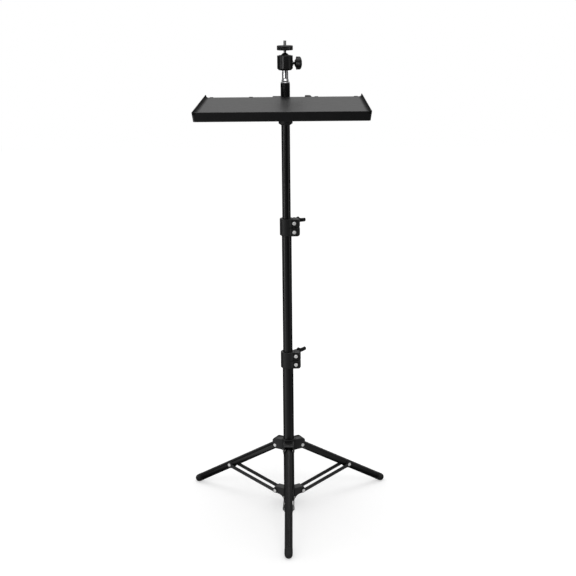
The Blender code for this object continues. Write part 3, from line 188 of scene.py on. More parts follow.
def worn_and_highlit_edges(tree):
    """1 on sharp outer edges, where edge wear and a painted edge highlight make them paler, 0 elsewhere.
    """
    pointiness = node(tree, "NewGeometry").outputs["Pointiness"]
    return ranged(pointiness, 0.0, 1.0, 0.5, 0.56)


def past(value, border, blur=EDGE_BLUR):
    """0 up to a border, and 1 beyond it."""
    return ranged(value, 0.0, 1.0, border, border + blur)


def short_of(value, border, blur=EDGE_BLUR):
    """1 up to a border, and 0 beyond it."""
    return ranged(value, 1.0, 0.0, border, border + blur)


def tray_rim_highlight(tree):
    """1 on the rounded top of the tray's rim, where a painted highlight lightens it, 0 elsewhere."""
    return past(separated(stretched(tree))["Z"], TRAY_RIM_Z - 0.001, 0.0008)


def wire(tree, shader, dark, light, rough, grain, metallic=0.0, stretch=(1, 1, 1), bump=0.1,
         specular=0.5, wear_and_highlight=None, wear_and_highlight_share=worn_and_highlit_edges):
    """A finish with two tones, a roughness that wanders, fine grain and paler edges: wear, and in part a
    painted edge highlight.
    """
    vector = stretched(tree, stretch)
    broad = noise(vector, BROAD_SCALE)
    fine = noise(vector, grain, 2.0, 0.6)
    colour = mixed(broad, dark, light)
    # The paler colour on the chosen edges is wear and, in part, a painted highlight; on the tray's rim top
    # it is a painted highlight.
    if wear_and_highlight:
        colour = mixed(wear_and_highlight_share(tree), colour, wear_and_highlight)
    grained = node(tree, "Bump", {"Height": fine, "Strength": bump, "Distance": GRAIN_DEPTH}).outputs[0]
    feed(shader, {"Base Color": colour, "Roughness": ranged(broad, *rough), "Normal": grained,
                  "Metallic": metallic, "Specular IOR Level": specular})


def surface(name, first, second=None, share=None):
    """A material of one finish, or of two: share(x, y, z) is 0 on the first and 1 on the second."""
    made = bpy.data.materials.new(name)
    made.use_nodes = True
    tree = made.node_tree
    under = tree.nodes["Principled BSDF"]
    wire(tree, under, **first)
    if second:
        over = node(tree, "BsdfPrincipled")
        wire(tree, over, **second)
        x, y, z = separated(stretched(tree))
        both = chosen(share(x, y, z), under.outputs[0], over.outputs[0])
        feed(tree.nodes["Material Output"], {"Surface": both})
    return made


def matt_shaded_walls(x, y, z):
    """1 on the tray's inner side walls and on the stops at its back, whose texture is matt and whose
    darker colour and weak reflection are painted shade.
    """
    half = TRAY_WIDTH / 2
    beside = calculated("ABSOLUTE", x)
    inner = past(beside, half - TRAY_WALL - TRAY_FILLET - 0.003, TRAY_FILLET + 0.001)
    outer = short_of(beside, half - 0.0006, 0.0003)
    above = past(z, TRAY_FLOOR_Z - 0.0002)
    back = past(y, TRAY_BACK_Y - 0.0027)
    raised = past(z, TRAY_FLOOR_Z + 0.0001)
    walls = calculated("MULTIPLY", inner, outer, above)
    return calculated("MAXIMUM", walls, calculated("MULTIPLY", back, raised))


def shaded_cross_bore(x, y, z):
    """1 inside the spigot's cross hole, which is left raw and whose dark grey is painted shade."""
    squares = (calculated("MULTIPLY", side, side) for side in (x, y))
    across = calculated("SQRT", calculated("ADD", *squares))
    deep = short_of(across, FLARE_HOLE_DEEP - 0.0002, 0.0002)
    over = past(z, FLARE_HOLE_Z - BORE_HALF - 0.0002, 0.0002)
    under = short_of(z, FLARE_HOLE_Z + BORE_HALF, 0.0002)
    return calculated("MULTIPLY", over, under, deep)


def above_ball(x, y, z):
    """1 on the neck and the stud over the ball."""
    return past(z, 0.0089, 0.0002)


def grey(value, blue=0.0):
    return (value, value, value + blue)


TUBE = surface("satin_black_tube", dict(
    dark=grey(0.0022, 0.0003), light=grey(0.0045, 0.0005), rough=(0.24, 0.32), grain=900.0,
    stretch=(1, 1, 0.02), bump=0.05))
BAR = surface("painted_black_bar", dict(
    dark=grey(0.005, 0.0005), light=grey(0.009, 0.0005), rough=(0.28, 0.4), grain=1100.0,
    bump=0.08, wear_and_highlight=grey(0.02, 0.001)))
PLASTIC = surface("grained_black_nylon", dict(
    dark=grey(0.005, 0.0005), light=grey(0.009, 0.0005), rough=(0.4, 0.52), grain=1400.0,
    bump=0.12, specular=0.42, wear_and_highlight=grey(0.02, 0.001)))
ANODISED = surface("black_anodised", dict(
    dark=grey(0.003, 0.0005), light=grey(0.005, 0.0005), rough=(0.2, 0.26), grain=1200.0,
    bump=0.03, stretch=(1, 1, 6), wear_and_highlight=grey(0.025)))
RUBBER = surface("black_rubber", dict(
    dark=grey(0.008), light=grey(0.014), rough=(0.6, 0.75), grain=700.0, bump=0.2))
STEEL = surface("zinc_steel", dict(
    dark=grey(0.84), light=grey(0.94, -0.01), rough=(0.38, 0.48), grain=900.0, metallic=0.4,
    bump=0.05))
# The inside of the cross hole is painted dark as shade, and it is also left raw.
CHROME = surface("chrome_with_raw_shaded_bore", dict(
    dark=grey(0.8, 0.01), light=grey(0.88, 0.01), rough=(0.08, 0.13), grain=500.0, metallic=1.0,
    bump=0.02), dict(
    dark=grey(0.02), light=grey(0.04), rough=(0.5, 0.7), grain=900.0, bump=0.1), shaded_cross_bore)
# The tray's rim top gets a lighter colour that is a painted highlight.
TRAY = surface("moulded_black_tray", dict(
    dark=grey(0.0025, 0.0005), light=grey(0.005, 0.0005), rough=(0.3, 0.36), grain=1800.0,
    bump=0.05, wear_and_highlight=grey(0.008, 0.0005), wear_and_highlight_share=tray_rim_highlight), dict(
    # Darker, barely reflecting finish on the inner walls and back stops: matt texture, and painted shade.
    dark=grey(0.002), light=grey(0.004), rough=(0.6, 0.75), grain=2200.0, bump=0.2,
    specular=0.1), matt_shaded_walls)
BALL = surface("black_ball_grey_stud", dict(
    dark=grey(0.003), light=grey(0.006), rough=(0.22, 0.3), grain=1500.0,
    bump=0.05), dict(
    dark=grey(0.28), light=grey(0.38, -0.005), rough=(0.42, 0.55), grain=1200.0, metallic=1.0,
    bump=0.05), above_ball)

# Mesh tools
EDGE = 0.0004
STRAIGHT, FOLDED, LONGEST_SHARE = radians(172), radians(5), 0.46
AXIS, LEVEL = 1e-7, 1e-9
FLAT_NORMAL = 0.99999


def linked(name, data):
    obj = bpy.data.objects.new(name, data)
    SCENE.collection.objects.link(obj)
    return obj


def mesh_object(name, build):
    """A piece whose mesh build(work) makes."""
    mesh = bpy.data.meshes.new(name)
    work = bmesh.new()
    build(work)
    bmesh.ops.recalc_face_normals(work, faces=work.faces)
    work.to_mesh(mesh)
    work.free()
    return linked(name, mesh)


def arc(centre, radius, start, end, steps):
    angles = [radians(start + (end - start) * i / steps) for i in range(steps + 1)]
    return [(centre[0] + radius * cos(a), centre[1] + radius * sin(a)) for a in angles]


def fillet(points, closed, default, step=15.0):
    """Rounds the corners of an outline; a point may carry its own radius as a third number."""
    made, count = [], len(points)
    for i, point in enumerate(points):
        here = Vector(point[:2])
        radius = point[2] if len(point) > 2 else default
        if radius <= 0 or (not closed and i in (0, count - 1)):
            made.append((here.x, here.y))
            continue
        back, ahead = (Vector(points[k % count][:2]) - here for k in (i - 1, i + 1))
        corner = back.angle(ahead)
        if corner > STRAIGHT or corner < FOLDED:
            made.append((here.x, here.y))
            continue
        reach = min(radius / tan(corner / 2), LONGEST_SHARE * back.length, LONGEST_SHARE * ahead.length)
        radius = reach * tan(corner / 2)
        back, ahead = back.normalized(), ahead.normalized()
        start, end = here + back * reach, here + ahead * reach
        centre = here + (back + ahead).normalized() * radius / sin(corner / 2)
        first = atan2(start.y - centre.y, start.x - centre.x)
        last = atan2(end.y - centre.y, end.x - centre.x)
        sweep = degrees((last - first + pi) % tau - pi)
        first = degrees(first)
        made += arc(centre, radius, first, first + sweep, max(2, round(abs(sweep) / step)))
    return made


def refined(points, extra):
    """Adds points on the stretches that extra = (lowest, highest, step) covers in height."""
    lowest, highest, step = extra
    made = [points[0]]
    for start, end in zip(points, points[1:]):
        inside = min(start[1], end[1]) < highest and max(start[1], end[1]) > lowest
        parts = max(1, round(abs(end[1] - start[1]) / step)) if inside else 1
        for k in range(1, parts + 1):
            share = k / parts
            made.append((start[0] + (end[0] - start[0]) * share, start[1] + (end[1] - start[1]) * share))
    return made


def lathe(name, profile, sides=72, closed=False, edge=EDGE, shape=None, extra=()):
    """Turns (radius, height) points round Z; the ends of an open outline are drawn in to the axis.
    shape(radius, angle, height) may change each radius."""
    if not closed:
        ends = [[(0, point[1])] if point[0] > 0 else [] for point in (profile[0], profile[-1])]
        profile = ends[0] + profile + ends[1]
    points = fillet(profile, closed, edge)
    if extra:
        points = refined(points, extra)

    def build(work):
        rings = []
        for radius, height in points:
            ring = []
            for k in range(sides if radius > AXIS else 1):
                angle = tau * k / sides
                r = shape(radius, angle, height) if shape else radius
                ring.append(work.verts.new((r * cos(angle), r * sin(angle), height)))
            rings.append(ring)
        pairs = list(zip(rings, rings[1:])) + ([(rings[-1], rings[0])] if closed else [])
        for one, two in pairs:
            for k in range(sides):
                after = k + 1
                corners = dict.fromkeys((one[k % len(one)], two[k % len(two)], two[after % len(two)],
                                         one[after % len(one)]))
                if len(corners) > 2:
                    work.faces.new(list(corners))

    return mesh_object(name, build)


def rod(radius, top, bottom, sides=36, rounding=0.0):
    """A plain cylinder round Z between two heights, of which the first may have a rounded rim."""
    return lathe("rod", [(radius, top, rounding), (radius, bottom)], sides, edge=0.0)


FACINGS = {"X": Matrix(((0, 0, 1), (1, 0, 0), (0, 1, 0))).to_4x4(),
           "Y": Matrix(((1, 0, 0), (0, 0, -1), (0, 1, 0))).to_4x4(),
           "Z": Matrix.Identity(4)}


def bevelled(work, edges, offset, steps):
    bmesh.ops.bevel(work, geom=edges, offset=offset, segments=steps, profile=0.5, affect="EDGES",
                    clamp_overlap=True)


def prism(outline, thickness, facing="Z", edge=0.0006, corner=0.0, steps=3, name="prism"):
    """An outline with a thickness, centred on its plane, with rounded rims."""
    points = fillet(outline, True, corner)

    def build(work):
        face = work.faces.new([work.verts.new((u, v, -thickness / 2)) for u, v in points])
        top = bmesh.ops.extrude_face_region(work, geom=[face])["geom"]
        raised = [item for item in top if isinstance(item, bmesh.types.BMVert)]
        bmesh.ops.translate(work, verts=raised, vec=(0, 0, thickness))
        if edge > 0:
            rims = [e for e in work.edges if abs(e.verts[0].co.z - e.verts[1].co.z) < LEVEL]
            bevelled(work, rims, edge, steps)
        bmesh.ops.transform(work, matrix=FACINGS[facing], verts=work.verts)

    return mesh_object(name, build)


def block(lowest, highest, edge=0.0):
    """A box between two corners with rounded edges."""

    def build(work):
        bmesh.ops.create_cube(work, size=1.0)
        for vert in work.verts:
            vert.co = [highest[i] if vert.co[i] > 0 else lowest[i] for i in range(3)]
        if edge > 0:
            bevelled(work, work.edges[:], edge, 3)

    return mesh_object("block", build)


def moved(obj, matrix):
    obj.data.transform(matrix)
    return obj


def combine(obj, operation, *others):
    """Adds the others to a piece or cuts them out of it, and turns the result into mesh."""
    for other in others:
        step = obj.modifiers.new(operation, "BOOLEAN")
        step.operation, step.solver, step.object = operation, "EXACT", other
    graph = bpy.context.evaluated_depsgraph_get()
    mesh = bpy.data.meshes.new_from_object(obj.evaluated_get(graph))
    obj.modifiers.clear()
    obj.data = mesh
    for other in others:
        bpy.data.objects.remove(other)
    return obj


def fuse(obj, *others):
    return combine(obj, "UNION", *others)


def cut(obj, *others):
    return combine(obj, "DIFFERENCE", *others)


def cross_rod(radius, reach, x=0.0, z=0.0):
    """A cutter rod across the frame (along Y)."""
    return moved(rod(radius, reach, -reach), at(x, 0, z) @ ACROSS)


def pin_hole(x=0.0, z=0.0):
    return cross_rod(PIN_R + GAP, PAST, x, z)


LAID = {}


def lay(obj, matrix, body, stands_for):
    """Moves a piece to its place and lets it ride on its body."""
    even = obj.modifiers.new("even_normals", "WEIGHTED_NORMAL")
    even.keep_sharp = True
    obj.data.transform(matrix)
    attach(obj, body)
    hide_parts(stands_for)


def settle(obj, matrix, body, finish, stands_for, angle=38, planes=False):
    """Smooths a piece, gives it its finish and lays it in its place."""
    obj.data.shade_smooth()
    obj.data.set_sharp_from_angle(angle=radians(angle))
    if planes:
        for face in obj.data.polygons:
            face.use_smooth = max(abs(part) for part in face.normal) < FLAT_NORMAL
    obj.data.materials.clear()
    obj.data.materials.append(finish)
    own = obj.data.attributes.new(OWN_PLACE, "FLOAT_VECTOR", "POINT")
    own.data.foreach_set("vector", [c for vert in obj.data.vertices for c in vert.co])
    LAID[obj.name] = ROOT @ matrix
    lay(obj, LAID[obj.name], body, stands_for)


def again(obj, name, matrix, body, stands_for):
    """The same piece once more, somewhere else."""
    twin = linked(name, obj.data.copy())
    lay(twin, ROOT @ matrix @ LAID[obj.name].inverted(), body, stands_for)


def on_each_side(piece, name, matrix, body, finish, stands_for):
    """Lays a piece and its copies at the three legs; {} in a name stands for the side."""
    for side, azimuth in AZIMUTHS.items():
        place, rides_on, instead = turned_by(azimuth) @ matrix, body.format(side), stands_for.format(side)
        if piece.name in LAID:
            again(piece, name.format(side), place, rides_on, instead)
        else:
            settle(piece, place, rides_on, finish, instead)


# Tubes, bushes, liner and end cap
def sleeve(name, outer, inner, bottom, top, sides=96, edge=EDGE):
    return lathe(name, [(outer, top), (outer, bottom), (inner, bottom), (inner, top)], sides, True, edge)


def tube(name, outer, inner, bottom, top, body, finish, stands_for, edge=EDGE):
    settle(sleeve(name, outer, inner, bottom, top, 96, edge), UPRIGHT, body, finish, stands_for)


def make_tubes():
    tube("column_skin", COLUMN_R, COLUMN_R - TUBE_WALL, COLUMN_BOTTOM, LOWER_SLIT_Z - GAP, "stand_base",
         TUBE, "column_tube")
    tube("mid_skin", MID_R, MID_R - TUBE_WALL, MID_BOTTOM, UPPER_SLIT_Z - GAP, "middle_stage", TUBE,
         "mid_tube")
    tube("top_skin", TOP_R, TOP_R - TUBE_WALL, TOP_BOTTOM, TOP_TUBE_END, "top_stage", TUBE, "top_tube")
    tube("tray_liner_sleeve", LINER_R, TOP_R + GAP, SOCKET_BOTTOM - 0.001, SOCKET_TOP, "tray_slider",
         PLASTIC, "tray_liner", 0.0003)
    for name, radius, end, body in (("mid_tube_bush", MID_R, MID_BOTTOM - GAP, "middle_stage"),
                                    ("top_tube_bush", TOP_R, TOP_BOTTOM - GAP, "top_stage")):
        spigot, top, lowest = radius - TUBE_WALL - GAP, end + GAP + 0.012, end - 0.003
        bush = lathe(name + "_ring", [
            (spigot, top), (spigot, end), (radius, end), (radius, lowest), (spigot - 0.0016, lowest),
            (spigot - 0.0016, top)], 96, True, 0.0003)
        settle(bush, UPRIGHT, body, PLASTIC, name)
    stem_r, rim_r, top = SPIDER_HUB_R - 0.0035 - GAP, SPIDER_HUB_R - 0.0004, SPIDER_HUB_BOTTOM - GAP
    low, dish = top - 0.0026, top - 0.002
    cap = lathe("end_cap_disc", [
        (stem_r, top + 0.01, 0.001), (stem_r, top), (rim_r, top), (rim_r, low, 0.001),
        (0.006, low), (0.0055, dish)])
    settle(cap, UPRIGHT, "stand_base", RUBBER, "column_end_cap")


# Bolts and rivets
def cross_recess(face_height, size, depth):
    """A tapered cross that is cut into a screw head whose face looks down its axis."""
    half, taper, eighth = 0.17 * size, 0.55, pi / 4
    arms = []
    for quarter in range(4):
        turn = quarter * pi / 2
        for u, v in ((size, -half), (size, half)):
            arms.append((u * cos(turn) - v * sin(turn), u * sin(turn) + v * cos(turn)))
        arms.append((1.6 * half * cos(turn + eighth), 1.6 * half * sin(turn + eighth)))

    def build(work):
        outer = [work.verts.new((u, v, face_height - 0.0004)) for u, v in arms]
        inner = [work.verts.new((taper * u, taper * v, face_height + depth)) for u, v in arms]
        for k in range(len(arms)):
            after = (k + 1) % len(arms)
            work.faces.new((outer[k], outer[after], inner[after], inner[k]))
        work.faces.new(outer)
        work.faces.new(inner)

    return mesh_object("recess", build)


def hexagonal(radius, angle, height):
    """The radius of a point on the nut, whose corners lie on the bolt head's circle."""
    if radius < BOLT_R + 0.0003:
        return radius
    away = (angle + pi / 6) % (pi / 3) - pi / 6
    return min(radius, BOLT_HEAD_R * cos(pi / 6) / cos(away))


def pan_bolt(name, reach, nut):
    """A pan-head bolt with a cross recess; a hexagon nut may close its far end."""
    face = -EAR_DEPTH / 2 - GAP
    head, head_r = face - BOLT_HEAD_T, BOLT_HEAD_R - 0.0004
    bolt = lathe(name, [
        (BOLT_R, reach, 0.0006), (BOLT_R, face), (head_r, face, 0.0002),
        (head_r, head + 0.0013, 0.0008), (0.66 * head_r, head + 0.0003, 0.002), (0, head)], 60)
    cut(bolt, cross_recess(head, 0.0026, 0.0013))
    if nut:
        start, end, corner_r = -face, NUT_T - face, BOLT_HEAD_R
        hex_nut = lathe("nut", [
            (BOLT_R - 0.0004, end - 0.0004), (BOLT_R + 0.0004, end),
            (0.88 * corner_r, end), (corner_r, end - 0.0006), (corner_r, start + 0.0004),
            (0.92 * corner_r, start)], 72, edge=0.0, shape=hexagonal)
        fuse(bolt, hex_nut)
    return bolt


def rivet_head(under):
    top = under + PIN_HEAD_T
    return [(0, top - 0.0007), (0.0009, top - 0.0006, 0.0003), (0.0015, top, 0.0003),
            (0.66 * PIN_HEAD_R, top - 0.0001, 0.001), (0.9 * PIN_HEAD_R, top - 0.0005, 0.0008),
            (PIN_HEAD_R, under, 0.0001), (PIN_R, under)]


def rivet(name, reach):
    """A headed pin whose two domed heads carry a shallow dimple."""
    half = rivet_head(reach)
    return lathe(name, half + [(radius, -height, *more) for radius, height, *more in reversed(half)], 48,
                 edge=0.0001)


# The two clamps
def lug_outline(height, sign):
    slit = SLIT_HALF / 2
    points = [(LUG_ROOT, slit), (EAR_REACH, slit, 0.0044), (EAR_REACH, height, 0.0062), (LUG_ROOT, height)]
    return [(p[0], sign * p[1], *p[2:]) for p in points]


def make_clamp(label, slit_z, collar_r, outer_r, inner_r, body, turn):
    seat, bolt_x, face = at(0, 0, slit_z), outer_r + GAP + 0.0034 + BOLT_R, -EAR_DEPTH / 2
    wide, narrow = outer_r + GAP, inner_r + GAP
    collar = lathe(label + "_collar", [
        (collar_r, COLLAR_UP, 0.0011), (collar_r, COLLAR_TAPER - COLLAR_DOWN, 0.0012),
        (wide + 0.0015, -COLLAR_DOWN, 0.0005)], 96)
    added = [prism(lug_outline(COLLAR_UP - 0.001, 1), EAR_DEPTH, "Y", 0.0012),
             prism(lug_outline(EAR_DOWN, -1), EAR_DEPTH, "Y", 0.0012)]
    removed = [
        lathe("bore", [
            (narrow + 0.003, 2 * COLLAR_UP), (narrow, COLLAR_UP - 0.0006), (narrow, 0),
            (wide, 0), (wide, -2 * COLLAR_DOWN)], 96, edge=0.0),
        block((0.006, -WELL_PAST, -SLIT_HALF), (WELL_PAST, WELL_PAST, SLIT_HALF)),
        block((0.005, -SLIT_HALF, -WELL_PAST), (WELL_PAST, SLIT_HALF, WELL_PAST))]
    for rise in (BOLT_RISE, -BOLT_RISE):
        place = at(bolt_x, 0, rise) @ ACROSS
        added.append(moved(lathe("rim", [(0.0062, face + 0.002), (0.0061, face - 0.0013)], 60,
                                 edge=0.0005), place))
        removed.append(cross_rod(BOLT_R + GAP, WELL_PAST, bolt_x, rise))
        removed.append(moved(rod(BOLT_HEAD_R + GAP, face, -WELL_PAST, 60), place))
    fuse(collar, *added)
    cut(collar, *removed)
    settle(collar, seat, body, PLASTIC, label + "_clamp")
    lower = pan_bolt(label + "_pinch_bolt", NUT_T + GAP - face + 0.001, True)
    settle(lower, seat @ at(bolt_x, 0, -BOLT_RISE) @ ACROSS, body, STEEL, label + "_clamp_bolt")
    upper = pan_bolt(label + "_wing_bolt", WING_HUB_T - face - 0.002, False)
    upper_seat = seat @ at(bolt_x, 0, BOLT_RISE)
    settle(upper, upper_seat @ ACROSS @ turned_by(BOLT_TURN), body, STEEL, label + "_knob_bolt")
    settle(wing_knob(label, turn), upper_seat, label + "_wing", PLASTIC, label + "_clamp_knob")


def smooth_loop(points, parts=3):
    """A closed curve through the points."""
    made, count = [], len(points)
    for i in range(count):
        a, b, c, d = (Vector(points[(i + k) % count]) for k in (-1, 0, 1, 2))
        for part in range(parts):
            t = part / parts
            p = 0.5 * ((2 * b) + (c - a) * t + (2 * a - 5 * b + 4 * c - d) * t * t
                       + (3 * b - a - 3 * c + d) * t ** 3)
            made.append((p.x, p.y))
    return made


def wing_knob(label, turn):
    """A hub with a blind bore and two wings, each drawn as (degrees, radius) points."""
    start = EAR_DEPTH / 2 + GAP
    end, neck, root = start + WING_HUB_T, start + 0.0034, 0.8 * WING_HUB_R
    hub = moved(lathe(label + "_wing_knob", [
        (WING_HUB_R, end, 0.0022), (WING_HUB_R, neck, 0.0006), (0.0046, neck, 0.0004),
        (0.0046, start)], 60), ACROSS)
    half = [(-30, root), (-18, 0.5 * WING_TIP_R), (-11.5, 0.82 * WING_TIP_R), (-9, 0.95 * WING_TIP_R),
            (0, WING_TIP_R), (8, 0.96 * WING_TIP_R), (10, 0.8 * WING_TIP_R), (17, 1.1 * WING_SHOULDER_R),
            (25, 1.02 * WING_SHOULDER_R), (36, WING_SHOULDER_R), (48, 0.8 * WING_SHOULDER_R), (62, root),
            (90, root), (118, root)]
    polar = [(radians(a + side), r) for side in (0, 180) for a, r in half]
    outline = smooth_loop([(r * cos(a), r * sin(a)) for a, r in polar])
    wings = prism(outline, 0.0056, "Y", 0.0013, steps=4)
    moved(wings, at(0, start + 0.01, 0) @ Matrix.Rotation(-turn, 4, "Y"))
    bore = moved(rod(BOLT_R + GAP, end - 0.002 + 2 * GAP, start - PAST), ACROSS)
    return cut(fuse(hub, wings), bore)


# Hand knobs
def hand_knob(name, radius, thickness, hub, stud_at, head_at, lobes):
    """A domed knob with soft lobes on a stud, its head away from the stud."""
    rim, under = 0.55 * thickness, head_at - hub
    profile = [(0, head_at + thickness)]
    profile += [(radius * cos(a), head_at + rim + (thickness - rim) * sin(a))
                for a in map(radians, range(84, 3, -8))]
    profile += [(radius, head_at + 0.6 * rim), (radius, head_at + 0.3 * rim),
                (radius, head_at, 0.0014), (0.7 * radius, head_at - 0.15 * hub, 0.001),
                (0.38 * radius, under, 0.0006), (KNOB_STUD_R, under, 0.0003),
                (KNOB_STUD_R, stud_at, 0.0006)]

    def lobed(r, angle, height):
        share = min(1.0, max(0.0, (r / radius - 0.5) / 0.45))
        valley = (0.5 + 0.5 * cos(lobes * angle)) ** 1.7
        return r * (1 - 0.165 * share * share * (3 - 2 * share) * valley)

    return lathe(name, profile, 16 * lobes, edge=0.0, shape=lobed)


# Crown, spider, legs and braces
def make_crown():
    sleeve_low = -CROWN_DOWN - 0.0008
    crown = lathe("crown_casting", [
        (CROWN_SLEEVE_R, CROWN_SLEEVE_UP, 0.0011), (CROWN_SLEEVE_R, sleeve_low, 0.0008)], 96)
    outer, root, pocket_half = CROWN_PIVOT_R + 0.0075, 0.008, 0.0092
    room = hypot(LEG_R, LEG_BEHIND_PIVOT) + 0.0008
    ear_outline = [(root, -CROWN_DOWN), (outer, -CROWN_DOWN, 0.006), (outer, CROWN_UP, 0.0072),
                   (root, CROWN_UP)]
    far, lowest = outer + PAST, -CROWN_DOWN - PAST
    slot_outline = [(far, room), (far, lowest), (CROWN_PIVOT_R - room, lowest)]
    slot_outline += arc((CROWN_PIVOT_R, 0), room, 180, 90, 16)
    near, end = CROWN_SLEEVE_R + 0.0015, outer - 0.005
    pocket = [(near, -pocket_half), (end, -pocket_half), (end, pocket_half), (near, pocket_half)]
    added, removed = [], []
    for azimuth in AZIMUTHS.values():
        turn = turned_by(azimuth)
        added.append(moved(prism(ear_outline, 2 * EAR_HALF, "Y", 0.0022, steps=4), turn))
        removed += [moved(prism(slot_outline, 2 * CHEEK_INNER, "Y", 0.0), turn),
                    moved(pin_hole(CROWN_PIVOT_R), turn),
                    moved(prism(pocket, 0.003, "Z", 0.0, 0.0045), turn @ at(0, 0, CROWN_UP))]
    level = at(0, 0, CROWN_KNOB_UP) @ ACROSS
    added.append(moved(rod(0.0065, 0.0215, 0.01, 60, 0.0009), level))
    bore_r, wide_r = COLUMN_R + GAP, COLUMN_R + GAP + 0.0006
    bore = lathe("bore", [
        (wide_r, WELL_PAST), (wide_r, CROWN_SLEEVE_UP), (bore_r, CROWN_SLEEVE_UP - 0.0006),
        (bore_r, -WELL_PAST)], 96, edge=0.0)
    stud_hole = moved(rod(KNOB_STUD_R + GAP, WELL_PAST, COLUMN_R), level)
    cut(fuse(crown, *added), bore, stud_hole, *removed)
    seat = at(0, 0, CROWN_PIVOT_Z)
    settle(crown, seat, "leg_crown", PLASTIC, "crown")
    on_each_side(rivet("crown_rivet_front", EAR_HALF + GAP), "crown_rivet_{}",
                 at(CROWN_PIVOT_R, 0, CROWN_PIVOT_Z) @ ACROSS, "leg_crown", STEEL, "crown_pin_{}")
    knob = hand_knob("crown_screw", radius=0.01, thickness=0.011, hub=0.0014,
                     stud_at=COLUMN_R + 2 * GAP, head_at=0.0245, lobes=6)
    settle(knob, seat @ level, "crown_knob", PLASTIC, "crown_lock_knob")


def spider_ear_outline():
    """A lug with a round end and shoulder, and a hollow curve from its pin down to the hub."""
    end = arc((SPIDER_PIVOT_R, 0), SPIDER_EAR_DOWN, -90, 20, 12)
    shoulder = arc((SPIDER_PIVOT_R - 0.001, SPIDER_EAR_UP - 0.005), 0.005, 20, 90, 8)
    foot, root = SPIDER_HUB_BOTTOM + 0.003 - SPIDER_PIVOT_Z, 0.009
    sweep, rise = SPIDER_PIVOT_R - SPIDER_HUB_R - 0.002, -SPIDER_EAR_DOWN - foot
    hollow = [(SPIDER_HUB_R + sweep * (1 - cos(a)), foot + rise * sin(a))
              for a in map(radians, range(0, 86, 8))]
    return [(root, foot)] + hollow + end + shoulder + [(root, SPIDER_EAR_UP)]


def make_spider():
    plug_r, plug_top = COLUMN_R - TUBE_WALL - GAP, SPIDER_HUB_TOP + 0.007
    hub = lathe("spider_casting", [
        (plug_r, plug_top, 0.0008), (plug_r, SPIDER_HUB_TOP),
        (SPIDER_HUB_R, SPIDER_HUB_TOP, 0.0006), (SPIDER_HUB_R, SPIDER_HUB_BOTTOM, 0.0008)], 96)
    ears, holes = [], []
    for azimuth in AZIMUTHS.values():
        turn = turned_by(azimuth) @ at(0, 0, SPIDER_PIVOT_Z)
        ears.append(moved(prism(spider_ear_outline(), 2 * SADDLE_HALF, "Y", 0.0012), turn))
        holes.append(moved(pin_hole(SPIDER_PIVOT_R), turn))
    bore = rod(SPIDER_HUB_R - 0.0035, SPIDER_HUB_TOP - 0.006, SPIDER_HUB_BOTTOM - PAST, 72)
    cut(fuse(hub, *ears), bore, *holes)
    settle(hub, UPRIGHT, "stand_base", PLASTIC, "lower_spider")
    on_each_side(rivet("spider_rivet_front", BAR_INNER + BAR_T + GAP), "spider_rivet_{}",
                 at(SPIDER_PIVOT_R, 0, SPIDER_PIVOT_Z) @ ACROSS, "stand_base", STEEL, "spider_pin_{}")


def make_boot(spigot, start):
    """A rubber foot with a round end, three grooves and a spigot that fills the leg's end."""
    end_r, deep = FOOT_R - 0.0002, FOOT_R - 0.0005
    dome = [(end_r * cos(a), LEG_LENGTH + end_r * sin(a)) for a in map(radians, (*range(82, 9, -8), 0))]
    grooves = []
    for k in range(3):
        height = LEG_LENGTH - 0.0022 - 0.003 * k
        grooves += [(FOOT_R, height, 0.0002), (deep, height - 0.0005, 0.0002),
                    (deep, height - 0.0009, 0.0002), (FOOT_R, height - 0.0014, 0.0002)]
    return lathe("leg_boot_front", [(0, LEG_LENGTH + end_r), *dome, *grooves, (FOOT_R, start, 0.0005),
                                    (spigot, start, EDGE), (spigot, start - 0.018, 0.0008)], edge=0.0)


def make_legs():
    inner, tube_end = LEG_R - LEG_WALL, LEG_LENGTH - FOOT_SKIRT
    spigot = inner - GAP
    skin = sleeve("leg_skin_front", LEG_R, inner, -LEG_BEHIND_PIVOT, tube_end, 80)
    cut(skin, pin_hole(), pin_hole(0, PIN_ALONG_LEG))
    clip = sleeve("leg_clip_front", SADDLE_HALF, LEG_R + GAP, -0.0075, 0.0075, 80)
    cut(clip, pin_hole(), block((-PAST, -PAST, -PAST), (-0.005, PAST, PAST)))
    plug = lathe("leg_plug_front", [(spigot, 0.015, 0.0008), (spigot, -LEG_BEHIND_PIVOT, 0.0005)], 60)
    cut(plug, pin_hole())
    leg = at(CROWN_PIVOT_R, 0, CROWN_PIVOT_Z) @ Matrix.Rotation(pi / 2 + LEG_ANGLE, 4, "Y")
    on_each_side(skin, "leg_skin_{}", leg, "leg_{}", TUBE, "leg_tube_{}")
    on_each_side(make_boot(spigot, tube_end + GAP), "leg_boot_{}", leg, "leg_{}", RUBBER, "leg_foot_{}")
    on_each_side(clip, "leg_clip_{}", leg @ at(0, 0, PIN_ALONG_LEG), "leg_{}", PLASTIC, "leg_saddle_{}")
    on_each_side(plug, "leg_plug_{}", leg, "leg_{}", PLASTIC, "leg_top_plug_{}")


